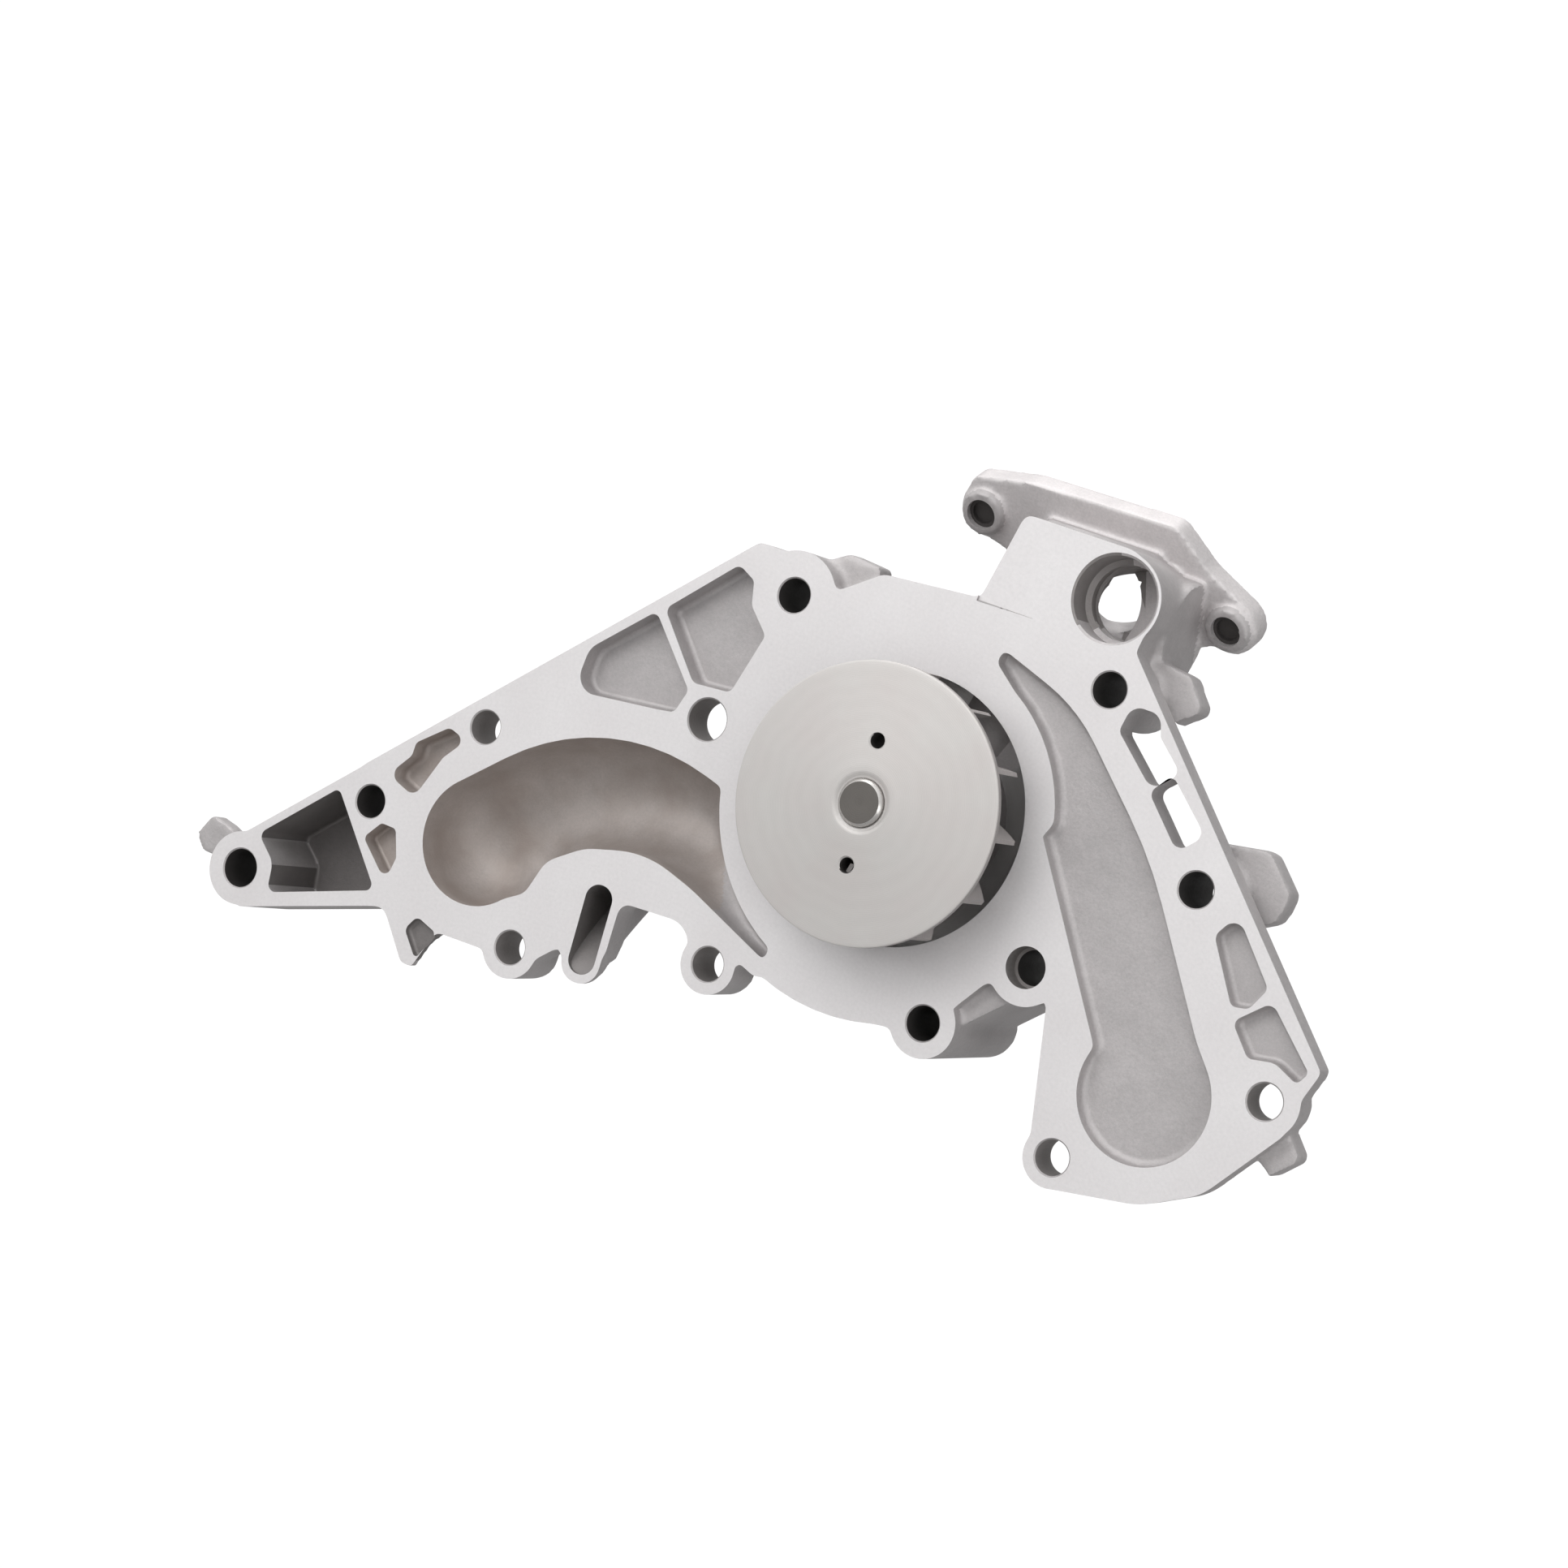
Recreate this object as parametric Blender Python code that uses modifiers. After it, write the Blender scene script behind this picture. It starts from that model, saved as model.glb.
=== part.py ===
"""Coolant pump of a V engine: cast housing, impeller, shaft bearing, face seal, belt pulley.

The origin is where the shaft's axis crosses the machined gasket face. +Y runs along the shaft
from the engine to the belt pulley. +Z is the engine's up, the middle of its V, and +X is to the
right as seen from the engine. Lengths are millimetres until a mesh is made from them.
"""

import math

import bmesh
import bpy
from mathutils import Matrix, Vector

MM = 0.001
GAP = 0.3  # between neighbouring pieces
STOCK = 0.6  # least thickness that milling takes off the gasket face
STOCK_STEP = 0.04  # how much more each further cast shape has
ARC_STEP = 22.5  # degrees between the points of a rounded outline

# Gasket face and casting
PLATE_Y = 8.0  # thickness of the face plate
BOLT_R = 4.4  # M8 clearance holes
BULB_R = 17.0  # round lower end of each volute pocket
LEFT_BULB = (-109.5, -47.5)
RIGHT_BULB = (85.0, -42.8)
LEFT_DEPTH = 21.0  # depth of the left volute pocket
RIGHT_DEPTH = 4.0  # depth of the right volute pocket
LEFT_RING_R = 48.8  # outer radius of the land between suction chamber and left pocket
RIGHT_RING_R = 42.0  # the same, at the right pocket

# Hub, from the engine side to the pulley side
CHAMBER_R = 34.3
CHAMBER_Y = 21.0
HUB_R = 40.0
HUB_Y = 28.5
SEAL_TUBE_R = 21.0
SEAL_TUBE_Y = 7.5
SEAL_BORE_R = 16.5
SEAL_BORE_Y = 20.5
DRAIN_R = 11.0
BEARING_Y0 = 27.5
BEARING_Y1 = 64.5
BEARING_R = 15.0
TOWER_R = 20.5

# Coolant ways behind the face: two parallel to the top of the neck, one down to the chamber
GALLERY = ((5.0, 24.0, 63.0), (48.0, 24.0, 63.0))
GALLERY_R = 13.5
GALLERY_BORE_R = 9.5
SUCTION_TOP = (17.0, 22.0, 60.0)
SUCTION_R = 13.0
SUCTION_BORE_R = 8.5
WEEP_Y = 25.0
WEEP_R = 1.6

# Shaft, impeller and pulley
SHAFT_THIN_R = 5.9  # in the impeller and the seal
SHAFT_R = 7.9  # in the bearing and the pulley
SHAFT_Y0 = -22.0
SHAFT_SHOULDER_Y = 23.0
SHAFT_Y1 = 76.5
IMPELLER_R = 35.0
IMPELLER_Y = -19.0  # plane of the disc's rim
IMPELLER_HUB_R = 17.0
IMPELLER_HUB_Y = 0.8
VANES = 13
VANE_TURN = 4.5  # degrees from +X to the rim of the first vane
VANE_SWEEP = 1.15  # degrees a vane leans back for each millimetre towards the shaft
VANE_RADII = (15.0, 21.5, 28.0, 34.6)
VANE_HALF = 0.9
VANE_Y = (-18.0, -4.0)
PULLER_R = 15.5
PULLER_HOLE_R = 1.9
PULLER_ANGLES = (95.5, 275.5)
PULLEY_R = 36.0
PULLEY_Y = (45.0, 76.0)
PULLEY_HOLES = 6
PULLEY_HOLE_R = 4.5
PULLEY_HOLE_PITCH_R = 23.0

# Ball and roller rows of the shaft bearing
BALLS = 9
BALL_R = 2.35
BALL_Y = 35.5
ROLLERS = 11
ROLLER_R = 1.75
ROLLER_Y = 53.0
ROLLER_LENGTH = 12.0
PITCH_R = 10.0
OUTER_RACE_R = 12.1
CAGES = {  # inner radius, outer radius, half length
    "ball": (8.9, 11.2, 4.0),
    "roller": (9.0, 11.0, 8.0),
}
BEARING_SEALS = {"bearing_seal_rear": 28.9, "bearing_seal_front": 62.3}

# Thermostat flange: middle of its back face, and the tilt of its normal up from +Y
FLANGE_AT = Vector((20.0, 28.0, 71.0))
FLANGE_TILT = math.radians(30.0)
FLANGE_T = 6.0
THERMOSTAT_R = 15.5
THERMOSTAT_BODY_R = 19.0
EARS = ((-34.2, 6.4), (36.0, -2.8))  # across and up the flange, from its middle
EAR_R = 7.3
EAR_HOLE_R = 3.4
BYPASS = (36.3, 66.2)  # axis of the bypass bore
BYPASS_R = 9.4
BYPASS_ENTRY_R = 10.7

# Bolt bosses of the face: x, z, boss radius, boss length, hole radius
BOSSES = {
    "arm_end": (-177.2, -79.1, 10.0, 28.0, 5.2),
    "left_low": (-144.7, -48.7, 8.0, 24.0, BOLT_R),
    "left_edge": (-118.4, -18.9, 7.5, 13.0, BOLT_R),
    "left_inner": (-57.4, 3.8, 9.3, 11.0, 5.4),
    "apex": (-45.5, 40.9, 11.5, 24.0, BOLT_R),
    "right_top": (42.8, 45.2, 9.0, 26.0, BOLT_R),
    "right_middle": (80.2, 7.5, 8.5, 26.0, BOLT_R),
    "right_tip": (113.4, -33.2, 8.9, 10.0, BOLT_R),
    "right_foot": (68.5, -65.1, 7.7, 11.0, BOLT_R),
    "leg_inner": (46.1, -24.8, 9.6, 26.0, BOLT_R),
    "bottom": (25.5, -47.0, 8.8, 42.0, BOLT_R),
    "bottom_left": (-35.0, -54.1, 7.8, 13.0, BOLT_R),
    "foot_left": (-90.5, -70.1, 8.2, 13.0, BOLT_R),
}

# Outlines on the gasket face.
# A corner is (x, z, radius) and an arc is (x, z, radius, first angle, last angle).
FACE = [
    (-150.0, -40.0, 0),
    (-59.3, 50.7, 3),
    (-45.0, 50.7, 0),
    (-34.5, 45.6, 2),
    (-23.8, 53.4, 4),
    (2.6, 55.8, 0),
    (45.5, 56.3, 1),
    (123.9, -22.1, 0.8),
    (120.6, -33.0, 3),
    (120.5, -39.0, 3),
    (106.5, -59.5, 14),
    (93.0, -67.5, 20),
    (68.5, -72.8, 0),
    (61.5, -62.0, 3),
    (53.5, -28.0, 4),
    (38.0, -31.5, 4),
    (31.0, -42.0, 4),
    (18.0, -51.0, 3),
    (-3.0, 0.0, 54.3, -73, -108),
    (-29.0, -50.5, 3),
    (-40.0, -58.5, 0),
    (-43.2, -46.5, 7),
    (-64.0, -48.0, 3),
    (-63.2, -66.5, 5.9),
    (-75.3, -67.0, 5.9),
    (-76.5, -64.5, 1.5),
    (-84.5, -72.5, 2),
    (-97.0, -73.2, 2),
    (-112.9, -74.0, 2),
    (-116.8, -85.2, 0.8),
    (-120.3, -85.0, 0.8),
    (-130.5, -73.2, 4),
    (-138.0, -75.7, 0),
]
LEFT_POCKET = [
    (*LEFT_BULB, BULB_R, 136, 318),
    (-91.0, -54.0, 4),
    (-86.0, -42.5, 10),
    (-62.0, -33.5, 26),
    (-20.4, -47.8, 1.2),
    (0.0, 0.0, LEFT_RING_R, -114.5, -167),
    (-85.0, -1.5, 62),
]
LEFT_SHELL = [
    (*LEFT_BULB, BULB_R + 4.5, 130, 312),
    (-86.0, -51.0, 5),
    (-63.0, -38.3, 17),
    (-20.0, -53.0, 3),
    (-10.0, -30.0, 0),
    (-30.0, -6.0, 0),
    (-49.0, -4.5, 8),
    (-85.0, 4.8, 60),
]
RIGHT_POCKET = [
    (0.0, 0.0, RIGHT_RING_R, 14, 62),
    (12.6, 42.4, 1.0),
    (13.6, 45.8, 1.2),
    (36.5, 38.5, 45),
    (67.0, 10.5, 110),
    (92.8, -26.0, 3),
    (*RIGHT_BULB, BULB_R, 42, -202),
    (39.0, 6.5, 0.5),
]
RIGHT_SHELL = [
    (6.0, 52.0, 4),
    (38.0, 46.0, 35),
    (72.0, 14.0, 110),
    (97.5, -21.0, 8),
    (*RIGHT_BULB, BULB_R + 3.8, 38, -205),
    (36.0, 2.0, 0),
    (3.0, 34.0, 0),
]
ARM = [
    (-183.1, -73.4, 0),
    (-147.0, -37.3, 4),
    (-127.0, -58.0, 4),
    (-131.5, -73.4, 3),
    (-173.7, -88.9, 0),
]
SLOT_EAR = [(-76.2, -44.0, 3), (-64.6, -43.0, 3), (-63.6, -71.6, 5.5), (-74.9, -72.0, 5.5)]
NECK = [
    (4.0, 42.0, 0),
    (2.5, 55.0, 0),
    (6.9, 78.8, 2.5),
    (40.0, 78.8, 8),
    (47.4, 66.0, 6),
    (44.4, 42.0, 0),
]
BOTTOM_WEB = [(22.0, -36.0, 0), (31.5, -47.0, 2), (45.5, -33.0, 2), (38.0, -22.0, 0)]
POCKETS = {  # name: (depth, outline)
    "arm": (
        22.0,
        [
            (-174.6, -68.4, 2),
            (-155.2, -48.9, 1.5),
            (-135.3, -70.2, 1.5),
            (-166.5, -82.0, 2),
            (-167.6, -74.0, 6),
        ],
    ),
    "left_small": (
        5.0,
        [
            (-143.0, -58.2, 1.5),
            (-139.2, -53.0, 1.5),
            (-134.6, -53.0, 1.5),
            (-131.7, -60.0, 1.5),
            (-132.7, -66.8, 2),
        ],
    ),
    "left_long": (
        6.0,
        [
            (-141.8, -40.0, 2.5),
            (-136.8, -33.2, 3),
            (-136.8, -29.5, 2),
            (-128.6, -22.6, 2.5),
            (-122.9, -24.2, 2),
            (-127.8, -30.5, 4),
            (-132.4, -43.0, 3),
        ],
    ),
    "spike": (
        4.5,
        [(-122.2, -76.5, 2), (-119.8, -72.2, 2), (-112.6, -74.4, 1.5), (-116.4, -82.8, 1)],
    ),
    "upper_left": (
        6.0,
        [
            (-96.6, -1.2, 3.5),
            (-96.0, 10.0, 4),
            (-81.2, 25.0, 2),
            (-65.3, 9.0, 2),
            (-67.2, 2.6, 2),
            (-72.0, 1.8, 3),
        ],
    ),
    "upper_right": (
        6.0,
        [
            (-78.9, 26.6, 2),
            (-62.8, 43.4, 2.2),
            (-57.6, 40.9, 2),
            (-56.0, 34.8, 4),
            (-49.6, 28.8, 2),
            (-53.8, 12.4, 2),
            (-64.6, 11.4, 3),
        ],
    ),
    "slot": (
        16.0,
        [(-74.3, -45.6, 3.6), (-66.7, -46.2, 3.6), (-65.5, -69.0, 3.6), (-72.9, -69.4, 3.6)],
    ),
    "edge_upper": (
        9.0,
        [
            (48.8, 37.2, 2),
            (51.2, 43.6, 3.5),
            (57.4, 43.2, 3.5),
            (59.6, 38.2, 2),
            (66.6, 32.0, 2),
            (61.3, 26.4, 3),
        ],
    ),
    "edge_lower": (
        9.0,
        [(61.4, 25.4, 2), (65.3, 30.8, 1.5), (77.6, 20.1, 2.5), (72.5, 14.7, 2.5)],
    ),
    "leg_upper": (
        3.5,
        [
            (88.4, -1.0, 2.5),
            (92.2, 5.4, 3),
            (105.0, -8.3, 2),
            (102.2, -14.3, 2.5),
            (98.0, -15.2, 2),
        ],
    ),
    "leg_lower": (
        3.5,
        [
            (99.6, -18.4, 2),
            (107.2, -10.9, 2.5),
            (121.0, -23.2, 1.5),
            (119.2, -26.6, 1.5),
            (112.6, -23.8, 5),
            (106.0, -25.2, 2),
        ],
    ),
}
THROUGH = ("edge_upper", "edge_lower")
# Cover lugs on the pulley side: first and last y, outline
LUGS = {
    "arm": (
        8.0,
        14.0,
        [
            (-184.0, -74.0, 0),
            (-190.5, -71.2, 1),
            (-196.6, -70.0, 2),
            (-199.6, -76.4, 2),
            (-195.8, -80.4, 2),
            (-184.0, -80.0, 0),
        ],
    ),
    "apex": (
        6.0,
        14.0,
        [
            (-45.0, 44.0, 0),
            (-44.4, 51.0, 2),
            (-37.5, 55.3, 2),
            (-28.0, 54.6, 1),
            (-27.0, 48.0, 2),
            (-36.0, 44.0, 0),
        ],
    ),
    "right_top": (
        12.0,
        20.0,
        [(42.0, 46.0, 0), (45.0, 56.0, 3), (57.0, 54.6, 3), (63.0, 47.3, 1.5), (52.0, 38.0, 2)],
    ),
    "right_middle": (
        12.0,
        20.0,
        [
            (74.0, 8.0, 0),
            (74.0, 18.6, 2),
            (90.6, 21.6, 4),
            (99.4, 13.2, 3),
            (98.0, 6.0, 4),
            (88.0, 0.0, 0),
        ],
    ),
    "right_tip": (
        4.0,
        12.0,
        [(108.0, -42.0, 0), (119.0, -36.6, 1), (125.2, -43.6, 1), (119.4, -50.0, 1)],
    ),
}
# Ribs on the pulley side: from x, z to x, z, first and last y
RIBS = (
    (-25, 28, -45.5, 40.9, 6, 22),
    (-38, 8, -57.4, 3.8, 6, 14),
    (-45.5, 40.9, -118.4, -12.9, 6, 13),
    (-118.4, -15.9, -144.7, -45.7, 6, 16),
    (30, 24, 42.8, 45.2, 6, 24),
    (39, 4, 80.2, 7.5, 6, 22),
    (42.8, 45.2, 80.2, 8.5, 6, 15),
    (80.2, 7.5, 113.4, -30.2, 6, 13),
    (18, -34, 25.5, -47.0, 6, 34),
    (36, -14, 46.1, -24.8, 6, 24),
    (-25, -30, -35.0, -54.1, 6, 12),
)
RIB_T = 4.0

ALUMINIUM = (0.62, 0.61, 0.60, 1.0)
STEEL = (0.42, 0.41, 0.39, 1.0)
RUBBER = (0.02, 0.02, 0.02, 1.0)
CARBON = (0.03, 0.03, 0.035, 1.0)
CERAMIC = (0.85, 0.84, 0.80, 1.0)
BRASS = (0.65, 0.50, 0.22, 1.0)


def clear_scene():
    for obj in list(bpy.data.objects):
        bpy.data.objects.remove(obj)


def new_collection(name):
    collection = bpy.data.collections.new(name)
    bpy.context.scene.collection.children.link(collection)
    return collection


def new_material(name, colour, roughness, metallic):
    material = bpy.data.materials.new(name)
    material.use_nodes = True
    shader = material.node_tree.nodes["Principled BSDF"]
    shader.inputs["Base Color"].default_value = colour
    shader.inputs["Roughness"].default_value = roughness
    shader.inputs["Metallic"].default_value = metallic
    return material


def arc_points(x, z, radius, first, last):
    """Points of an arc, its angles in degrees."""
    count = max(2, math.ceil(abs(last - first) / ARC_STEP))
    angles = (math.radians(first + (last - first) * i / count) for i in range(count + 1))
    return [(x + radius * math.cos(a), z + radius * math.sin(a)) for a in angles]


def corner_points(before, corner, after, radius):
    """The points that round a corner between its two neighbours."""
    corner = Vector(corner)
    to_before = (Vector(before) - corner).normalized()
    to_after = (Vector(after) - corner).normalized()
    half = math.acos(max(-1.0, min(1.0, to_before.dot(to_after)))) / 2
    if radius == 0 or half > math.radians(88):
        return [tuple(corner)]
    middle = corner + (to_before + to_after).normalized() * radius / math.sin(half)
    start = corner + to_before * radius / math.tan(half) - middle
    turn = math.pi - 2 * half
    side = 1 if to_before.cross(to_after) < 0 else -1
    count = max(1, math.ceil(math.degrees(turn) / ARC_STEP))
    first = math.atan2(start.y, start.x)
    angles = (first + side * turn * i / count for i in range(count + 1))
    return [(middle.x + radius * math.cos(a), middle.y + radius * math.sin(a)) for a in angles]


def rounded(outline):
    """The points of a closed outline of rounded corners and arcs."""
    runs = [arc_points(*item) if len(item) == 5 else [item[:2]] for item in outline]
    points = []
    for i, item in enumerate(outline):
        if len(item) == 5:
            points += runs[i]
        else:
            after = runs[(i + 1) % len(runs)][0]
            points += corner_points(runs[i - 1][-1], item[:2], after, item[2])
    return points


def from_curve(curve, matrix, collection):
    """Turns a curve into a welded mesh object in world space."""
    draft = bpy.data.objects.new(curve.name, curve)
    bpy.context.scene.collection.objects.link(draft)
    graph = bpy.context.evaluated_depsgraph_get()
    mesh = bpy.data.meshes.new_from_object(draft.evaluated_get(graph))
    mesh.transform(matrix)
    bpy.data.objects.remove(draft)
    shape = bmesh.new()
    shape.from_mesh(mesh)
    bmesh.ops.remove_doubles(shape, verts=shape.verts, dist=1e-6)
    bmesh.ops.recalc_face_normals(shape, faces=shape.faces)
    shape.to_mesh(mesh)
    shape.free()
    obj = bpy.data.objects.new(curve.name, mesh)
    collection.objects.link(obj)
    return obj


def prism(name, outline, y0, y1, collection, frame=None):
    """An outline in x and z, extruded from y0 to y1. A frame moves it off the gasket face."""
    points = rounded(outline)
    curve = bpy.data.curves.new(name, "CURVE")
    curve.dimensions = "2D"
    curve.fill_mode = "BOTH"
    curve.extrude = (y1 - y0) / 2 * MM
    spline = curve.splines.new("POLY")
    spline.points.add(len(points) - 1)
    for point, (x, z) in zip(spline.points, points):
        point.co = (x * MM, z * MM, 0, 1)
    spline.use_cyclic_u = True
    upright = Matrix.Translation((0, (y0 + y1) / 2 * MM, 0)) @ Matrix.Rotation(math.pi / 2, 4, "X")
    return from_curve(curve, frame @ upright if frame else upright, collection)


def cylinder(name, start, end, radius, collection, segments=20, end_radius=None):
    """A cylinder or cone between two points."""
    start, end = Vector(start), Vector(end)
    shape = bmesh.new()
    bmesh.ops.create_cone(
        shape,
        cap_ends=True,
        segments=segments,
        radius1=radius * MM,
        radius2=(radius if end_radius is None else end_radius) * MM,
        depth=(end - start).length * MM,
    )
    mesh = bpy.data.meshes.new(name)
    shape.to_mesh(mesh)
    shape.free()
    turn = (end - start).to_track_quat("Z", "Y").to_matrix().to_4x4()
    mesh.transform(Matrix.Translation((start + end) / 2 * MM) @ turn)
    obj = bpy.data.objects.new(name, mesh)
    collection.objects.link(obj)
    return obj


def along_y(name, x, z, y0, y1, radius, collection, segments=18, end_radius=None):
    return cylinder(name, (x, y0, z), (x, y1, z), radius, collection, segments, end_radius)


def turned(name, profile, collection, steps=40, ring=True):
    """A body turned about the Y axis. Its profile is (radius, y), outer side first, from high y."""
    mesh = bpy.data.meshes.new(name)
    points = [(radius * MM, 0, y * MM) for radius, y in profile]
    edges = [(i, i + 1) for i in range(len(points) - 1)]
    if ring:
        edges.append((len(points) - 1, 0))
    mesh.from_pydata(points, edges, [])
    obj = bpy.data.objects.new(name, mesh)
    obj.rotation_euler = (-math.pi / 2, 0, 0)
    collection.objects.link(obj)
    screw = obj.modifiers.new("turned", "SCREW")
    screw.steps = steps
    screw.render_steps = steps
    screw.use_merge_vertices = True
    screw.merge_threshold = 1e-5
    return obj


def add_boolean(obj, operation, collection):
    modifier = obj.modifiers.new(collection.name, "BOOLEAN")
    modifier.operation = operation
    modifier.operand_type = "COLLECTION"
    modifier.collection = collection
    modifier.solver = "EXACT"


def finish(obj, material, smooth_angle=30.0):
    """Gives a piece its material and smooth shading with sharp edges."""
    obj.data.materials.clear()
    obj.data.materials.append(material)
    if obj.data.polygons:
        obj.data.shade_smooth()
        obj.data.set_sharp_from_angle(angle=math.radians(smooth_angle))


def helper_collection(name, parent):
    collection = bpy.data.collections.new(name)
    parent.children.link(collection)
    return collection


def hide_helpers(parent):
    for obj in parent.all_objects:
        obj.hide_render = True
        obj.display_type = "WIRE"


def flange_frame():
    """Places a shape drawn on the gasket face onto the back of the thermostat flange."""
    return Matrix.Translation(FLANGE_AT * MM) @ Matrix.Rotation(FLANGE_TILT, 4, "X")


def on_flange(across, up, out):
    """A point of the thermostat flange, in millimetres."""
    return FLANGE_AT + Matrix.Rotation(FLANGE_TILT, 3, "X") @ Vector((across, out, up))


def flange_outline():
    (left_x, left_z), (right_x, right_z) = EARS
    return [
        (-38.5, 15.0, 3),
        (-22.0, 18.2, 10),
        (18.5, 19.0, 4),
        (28.0, 10.2, 5),
        (right_x, right_z, EAR_R, 62, -115),
        (26.0, -12.5, 8),
        (0.0, 0.0, 19.6, -50, -130),
        (-25.0, -3.5, 8),
        (left_x, left_z, EAR_R, -80, -200),
    ]


def stock_start(collection):
    """Where the next cast shape starts: each has its own depth of stock, which milling takes off."""
    return -STOCK - STOCK_STEP * len(collection.objects)


def cast_housing_solids(collection):
    """Everything that the casting is joined from, before its hollows are cut."""
    base = prism("face_plate", FACE, -STOCK, PLATE_Y, collection)
    raised = {
        "left_volute_shell": (LEFT_SHELL, LEFT_DEPTH + 4.3),
        "right_volute_shell": (RIGHT_SHELL, RIGHT_DEPTH + 7.2),
        "arm_box": (ARM, 25.7),
        "slot_ear": (SLOT_EAR, 19.3),
        "neck_block": (NECK, 24.1),
    }
    for name, (outline, y1) in raised.items():
        prism(name, outline, stock_start(collection), y1, collection)
    along_y("hub", 0, 0, stock_start(collection), HUB_Y, HUB_R, collection, 40)
    along_y("hub_cone", 0, 0, HUB_Y - 2, HUB_Y + 8, HUB_R - 4, collection, 36, TOWER_R - 0.4)
    along_y("bearing_tower", 0, 0, HUB_Y - 4, BEARING_Y1 + GAP, TOWER_R, collection, 36)
    for name, (x, z, radius, length, _) in BOSSES.items():
        along_y(f"boss_{name}", x, z, stock_start(collection), length, radius, collection)
    prism("bottom_web", BOTTOM_WEB, 4, 40, collection)
    for name, (y0, y1, outline) in LUGS.items():
        prism(f"lug_{name}", outline, y0, y1, collection)
    for i, (x0, z0, x1, z1, y0, y1) in enumerate(RIBS):
        along = Vector((x1 - x0, z1 - z0)).normalized() * RIB_T / 2
        side = Vector((-along.y, along.x))
        corners = [
            (x0 + side.x, z0 + side.y, 0),
            (x1 + side.x, z1 + side.y, 0),
            (x1 - side.x, z1 - side.y, 0),
            (x0 - side.x, z0 - side.y, 0),
        ]
        prism(f"rib_{i}", corners, y0, y1, collection)
    along_y("bypass_boss", *BYPASS, stock_start(collection), 24.6, 12.0, collection, 24)
    prism("thermostat_flange", flange_outline(), 0, FLANGE_T, collection, flange_frame())
    inner, outer = on_flange(0, 0, -16), on_flange(0, 0, 1)
    cylinder("thermostat_body", inner, outer, THERMOSTAT_BODY_R, collection, 32)
    cylinder("gallery", *GALLERY, GALLERY_R, collection, 24)
    cylinder("suction_duct", SUCTION_TOP, (6, 19, 20), SUCTION_R, collection, 24)
    return base


def cast_housing_hollows(collection):
    """Pockets, suction chamber and coolant ways of the casting."""
    cylinder("face_mill", (-30, 0, 0), (-30, -40, 0), 240, collection, 32)
    prism("left_volute", LEFT_POCKET, -5, LEFT_DEPTH, collection)
    prism("right_volute", RIGHT_POCKET, -5.1, RIGHT_DEPTH, collection)
    for name, (depth, outline) in POCKETS.items():
        end = BEARING_Y1 if name in THROUGH else depth
        prism(f"pocket_{name}", outline, -5.2, end, collection)
    along_y("suction_chamber", 0, 0, -5.3, CHAMBER_Y, CHAMBER_R, collection, 40)
    cylinder("suction_way", SUCTION_TOP, (6, 16, 22), SUCTION_BORE_R, collection)
    inner, outer = on_flange(0, 0, -11), on_flange(0, 0, FLANGE_T + 1)
    cylinder("thermostat_seat", inner, outer, THERMOSTAT_R, collection, 32)
    cylinder("gallery_bore", (10, 24, 63), (43, 24, 63), GALLERY_BORE_R, collection, 24)


def machined_holes(collection):
    """Bores and bolt holes."""
    along_y("seal_bore", 0, 0, SEAL_TUBE_Y - 2, SEAL_BORE_Y, SEAL_BORE_R, collection, 32)
    along_y("drain_chamber", 0, 0, SEAL_BORE_Y - 1, BEARING_Y0, DRAIN_R, collection, 24)
    along_y("bearing_bore", 0, 0, BEARING_Y0 - GAP, BEARING_Y1 + 2, BEARING_R + GAP, collection, 32)
    cylinder("weep_hole", (0, WEEP_Y, -8), (0, WEEP_Y, -46), WEEP_R, collection, 12)
    for name, (x, z, _, length, radius) in BOSSES.items():
        along_y(f"hole_{name}", x, z, -2, length + 2, radius, collection)
    x, z = BOSSES["leg_inner"][:2]
    along_y("dowel_counterbore", x, z, -1, 6, 5.2, collection)
    along_y("bypass_bore", *BYPASS, -1, 22, BYPASS_R, collection, 24)
    along_y("bypass_entry", *BYPASS, -1, 9, BYPASS_ENTRY_R, collection, 24)
    for i, (across, up) in enumerate(EARS):
        inner, outer = on_flange(across, up, -12), on_flange(across, up, FLANGE_T + 2)
        cylinder(f"ear_hole_{i}", inner, outer, EAR_HOLE_R, collection, 16)


def make_housing(parts, helpers, booleans, material):
    solids = helper_collection("cast_solids", helpers)
    hollows = helper_collection("cast_hollows", helpers)
    tubes = helper_collection("seal_tubes", helpers)
    holes = helper_collection("machined_holes", helpers)
    base = cast_housing_solids(solids)
    solids.objects.unlink(base)
    base.name = "pump_housing"
    parts.objects.link(base)
    cast_housing_hollows(hollows)
    along_y("seal_tube", 0, 0, SEAL_TUBE_Y, CHAMBER_Y + 2, SEAL_TUBE_R, tubes, 32)
    machined_holes(holes)
    booleans.append((base, "UNION", solids))
    booleans.append((base, "DIFFERENCE", hollows))
    booleans.append((base, "UNION", tubes))
    booleans.append((base, "DIFFERENCE", holes))
    finish(base, material)


def groove(side):
    """The ball groove, on the shaft with side -1 and on the outer ring with side 1."""
    reach = BALL_R + GAP
    turns = [math.radians(degrees) for degrees in (-38, -19, 0, 19, 38)]
    return [(PITCH_R + side * reach * math.cos(a), BALL_Y + side * reach * math.sin(a)) for a in turns]


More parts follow.
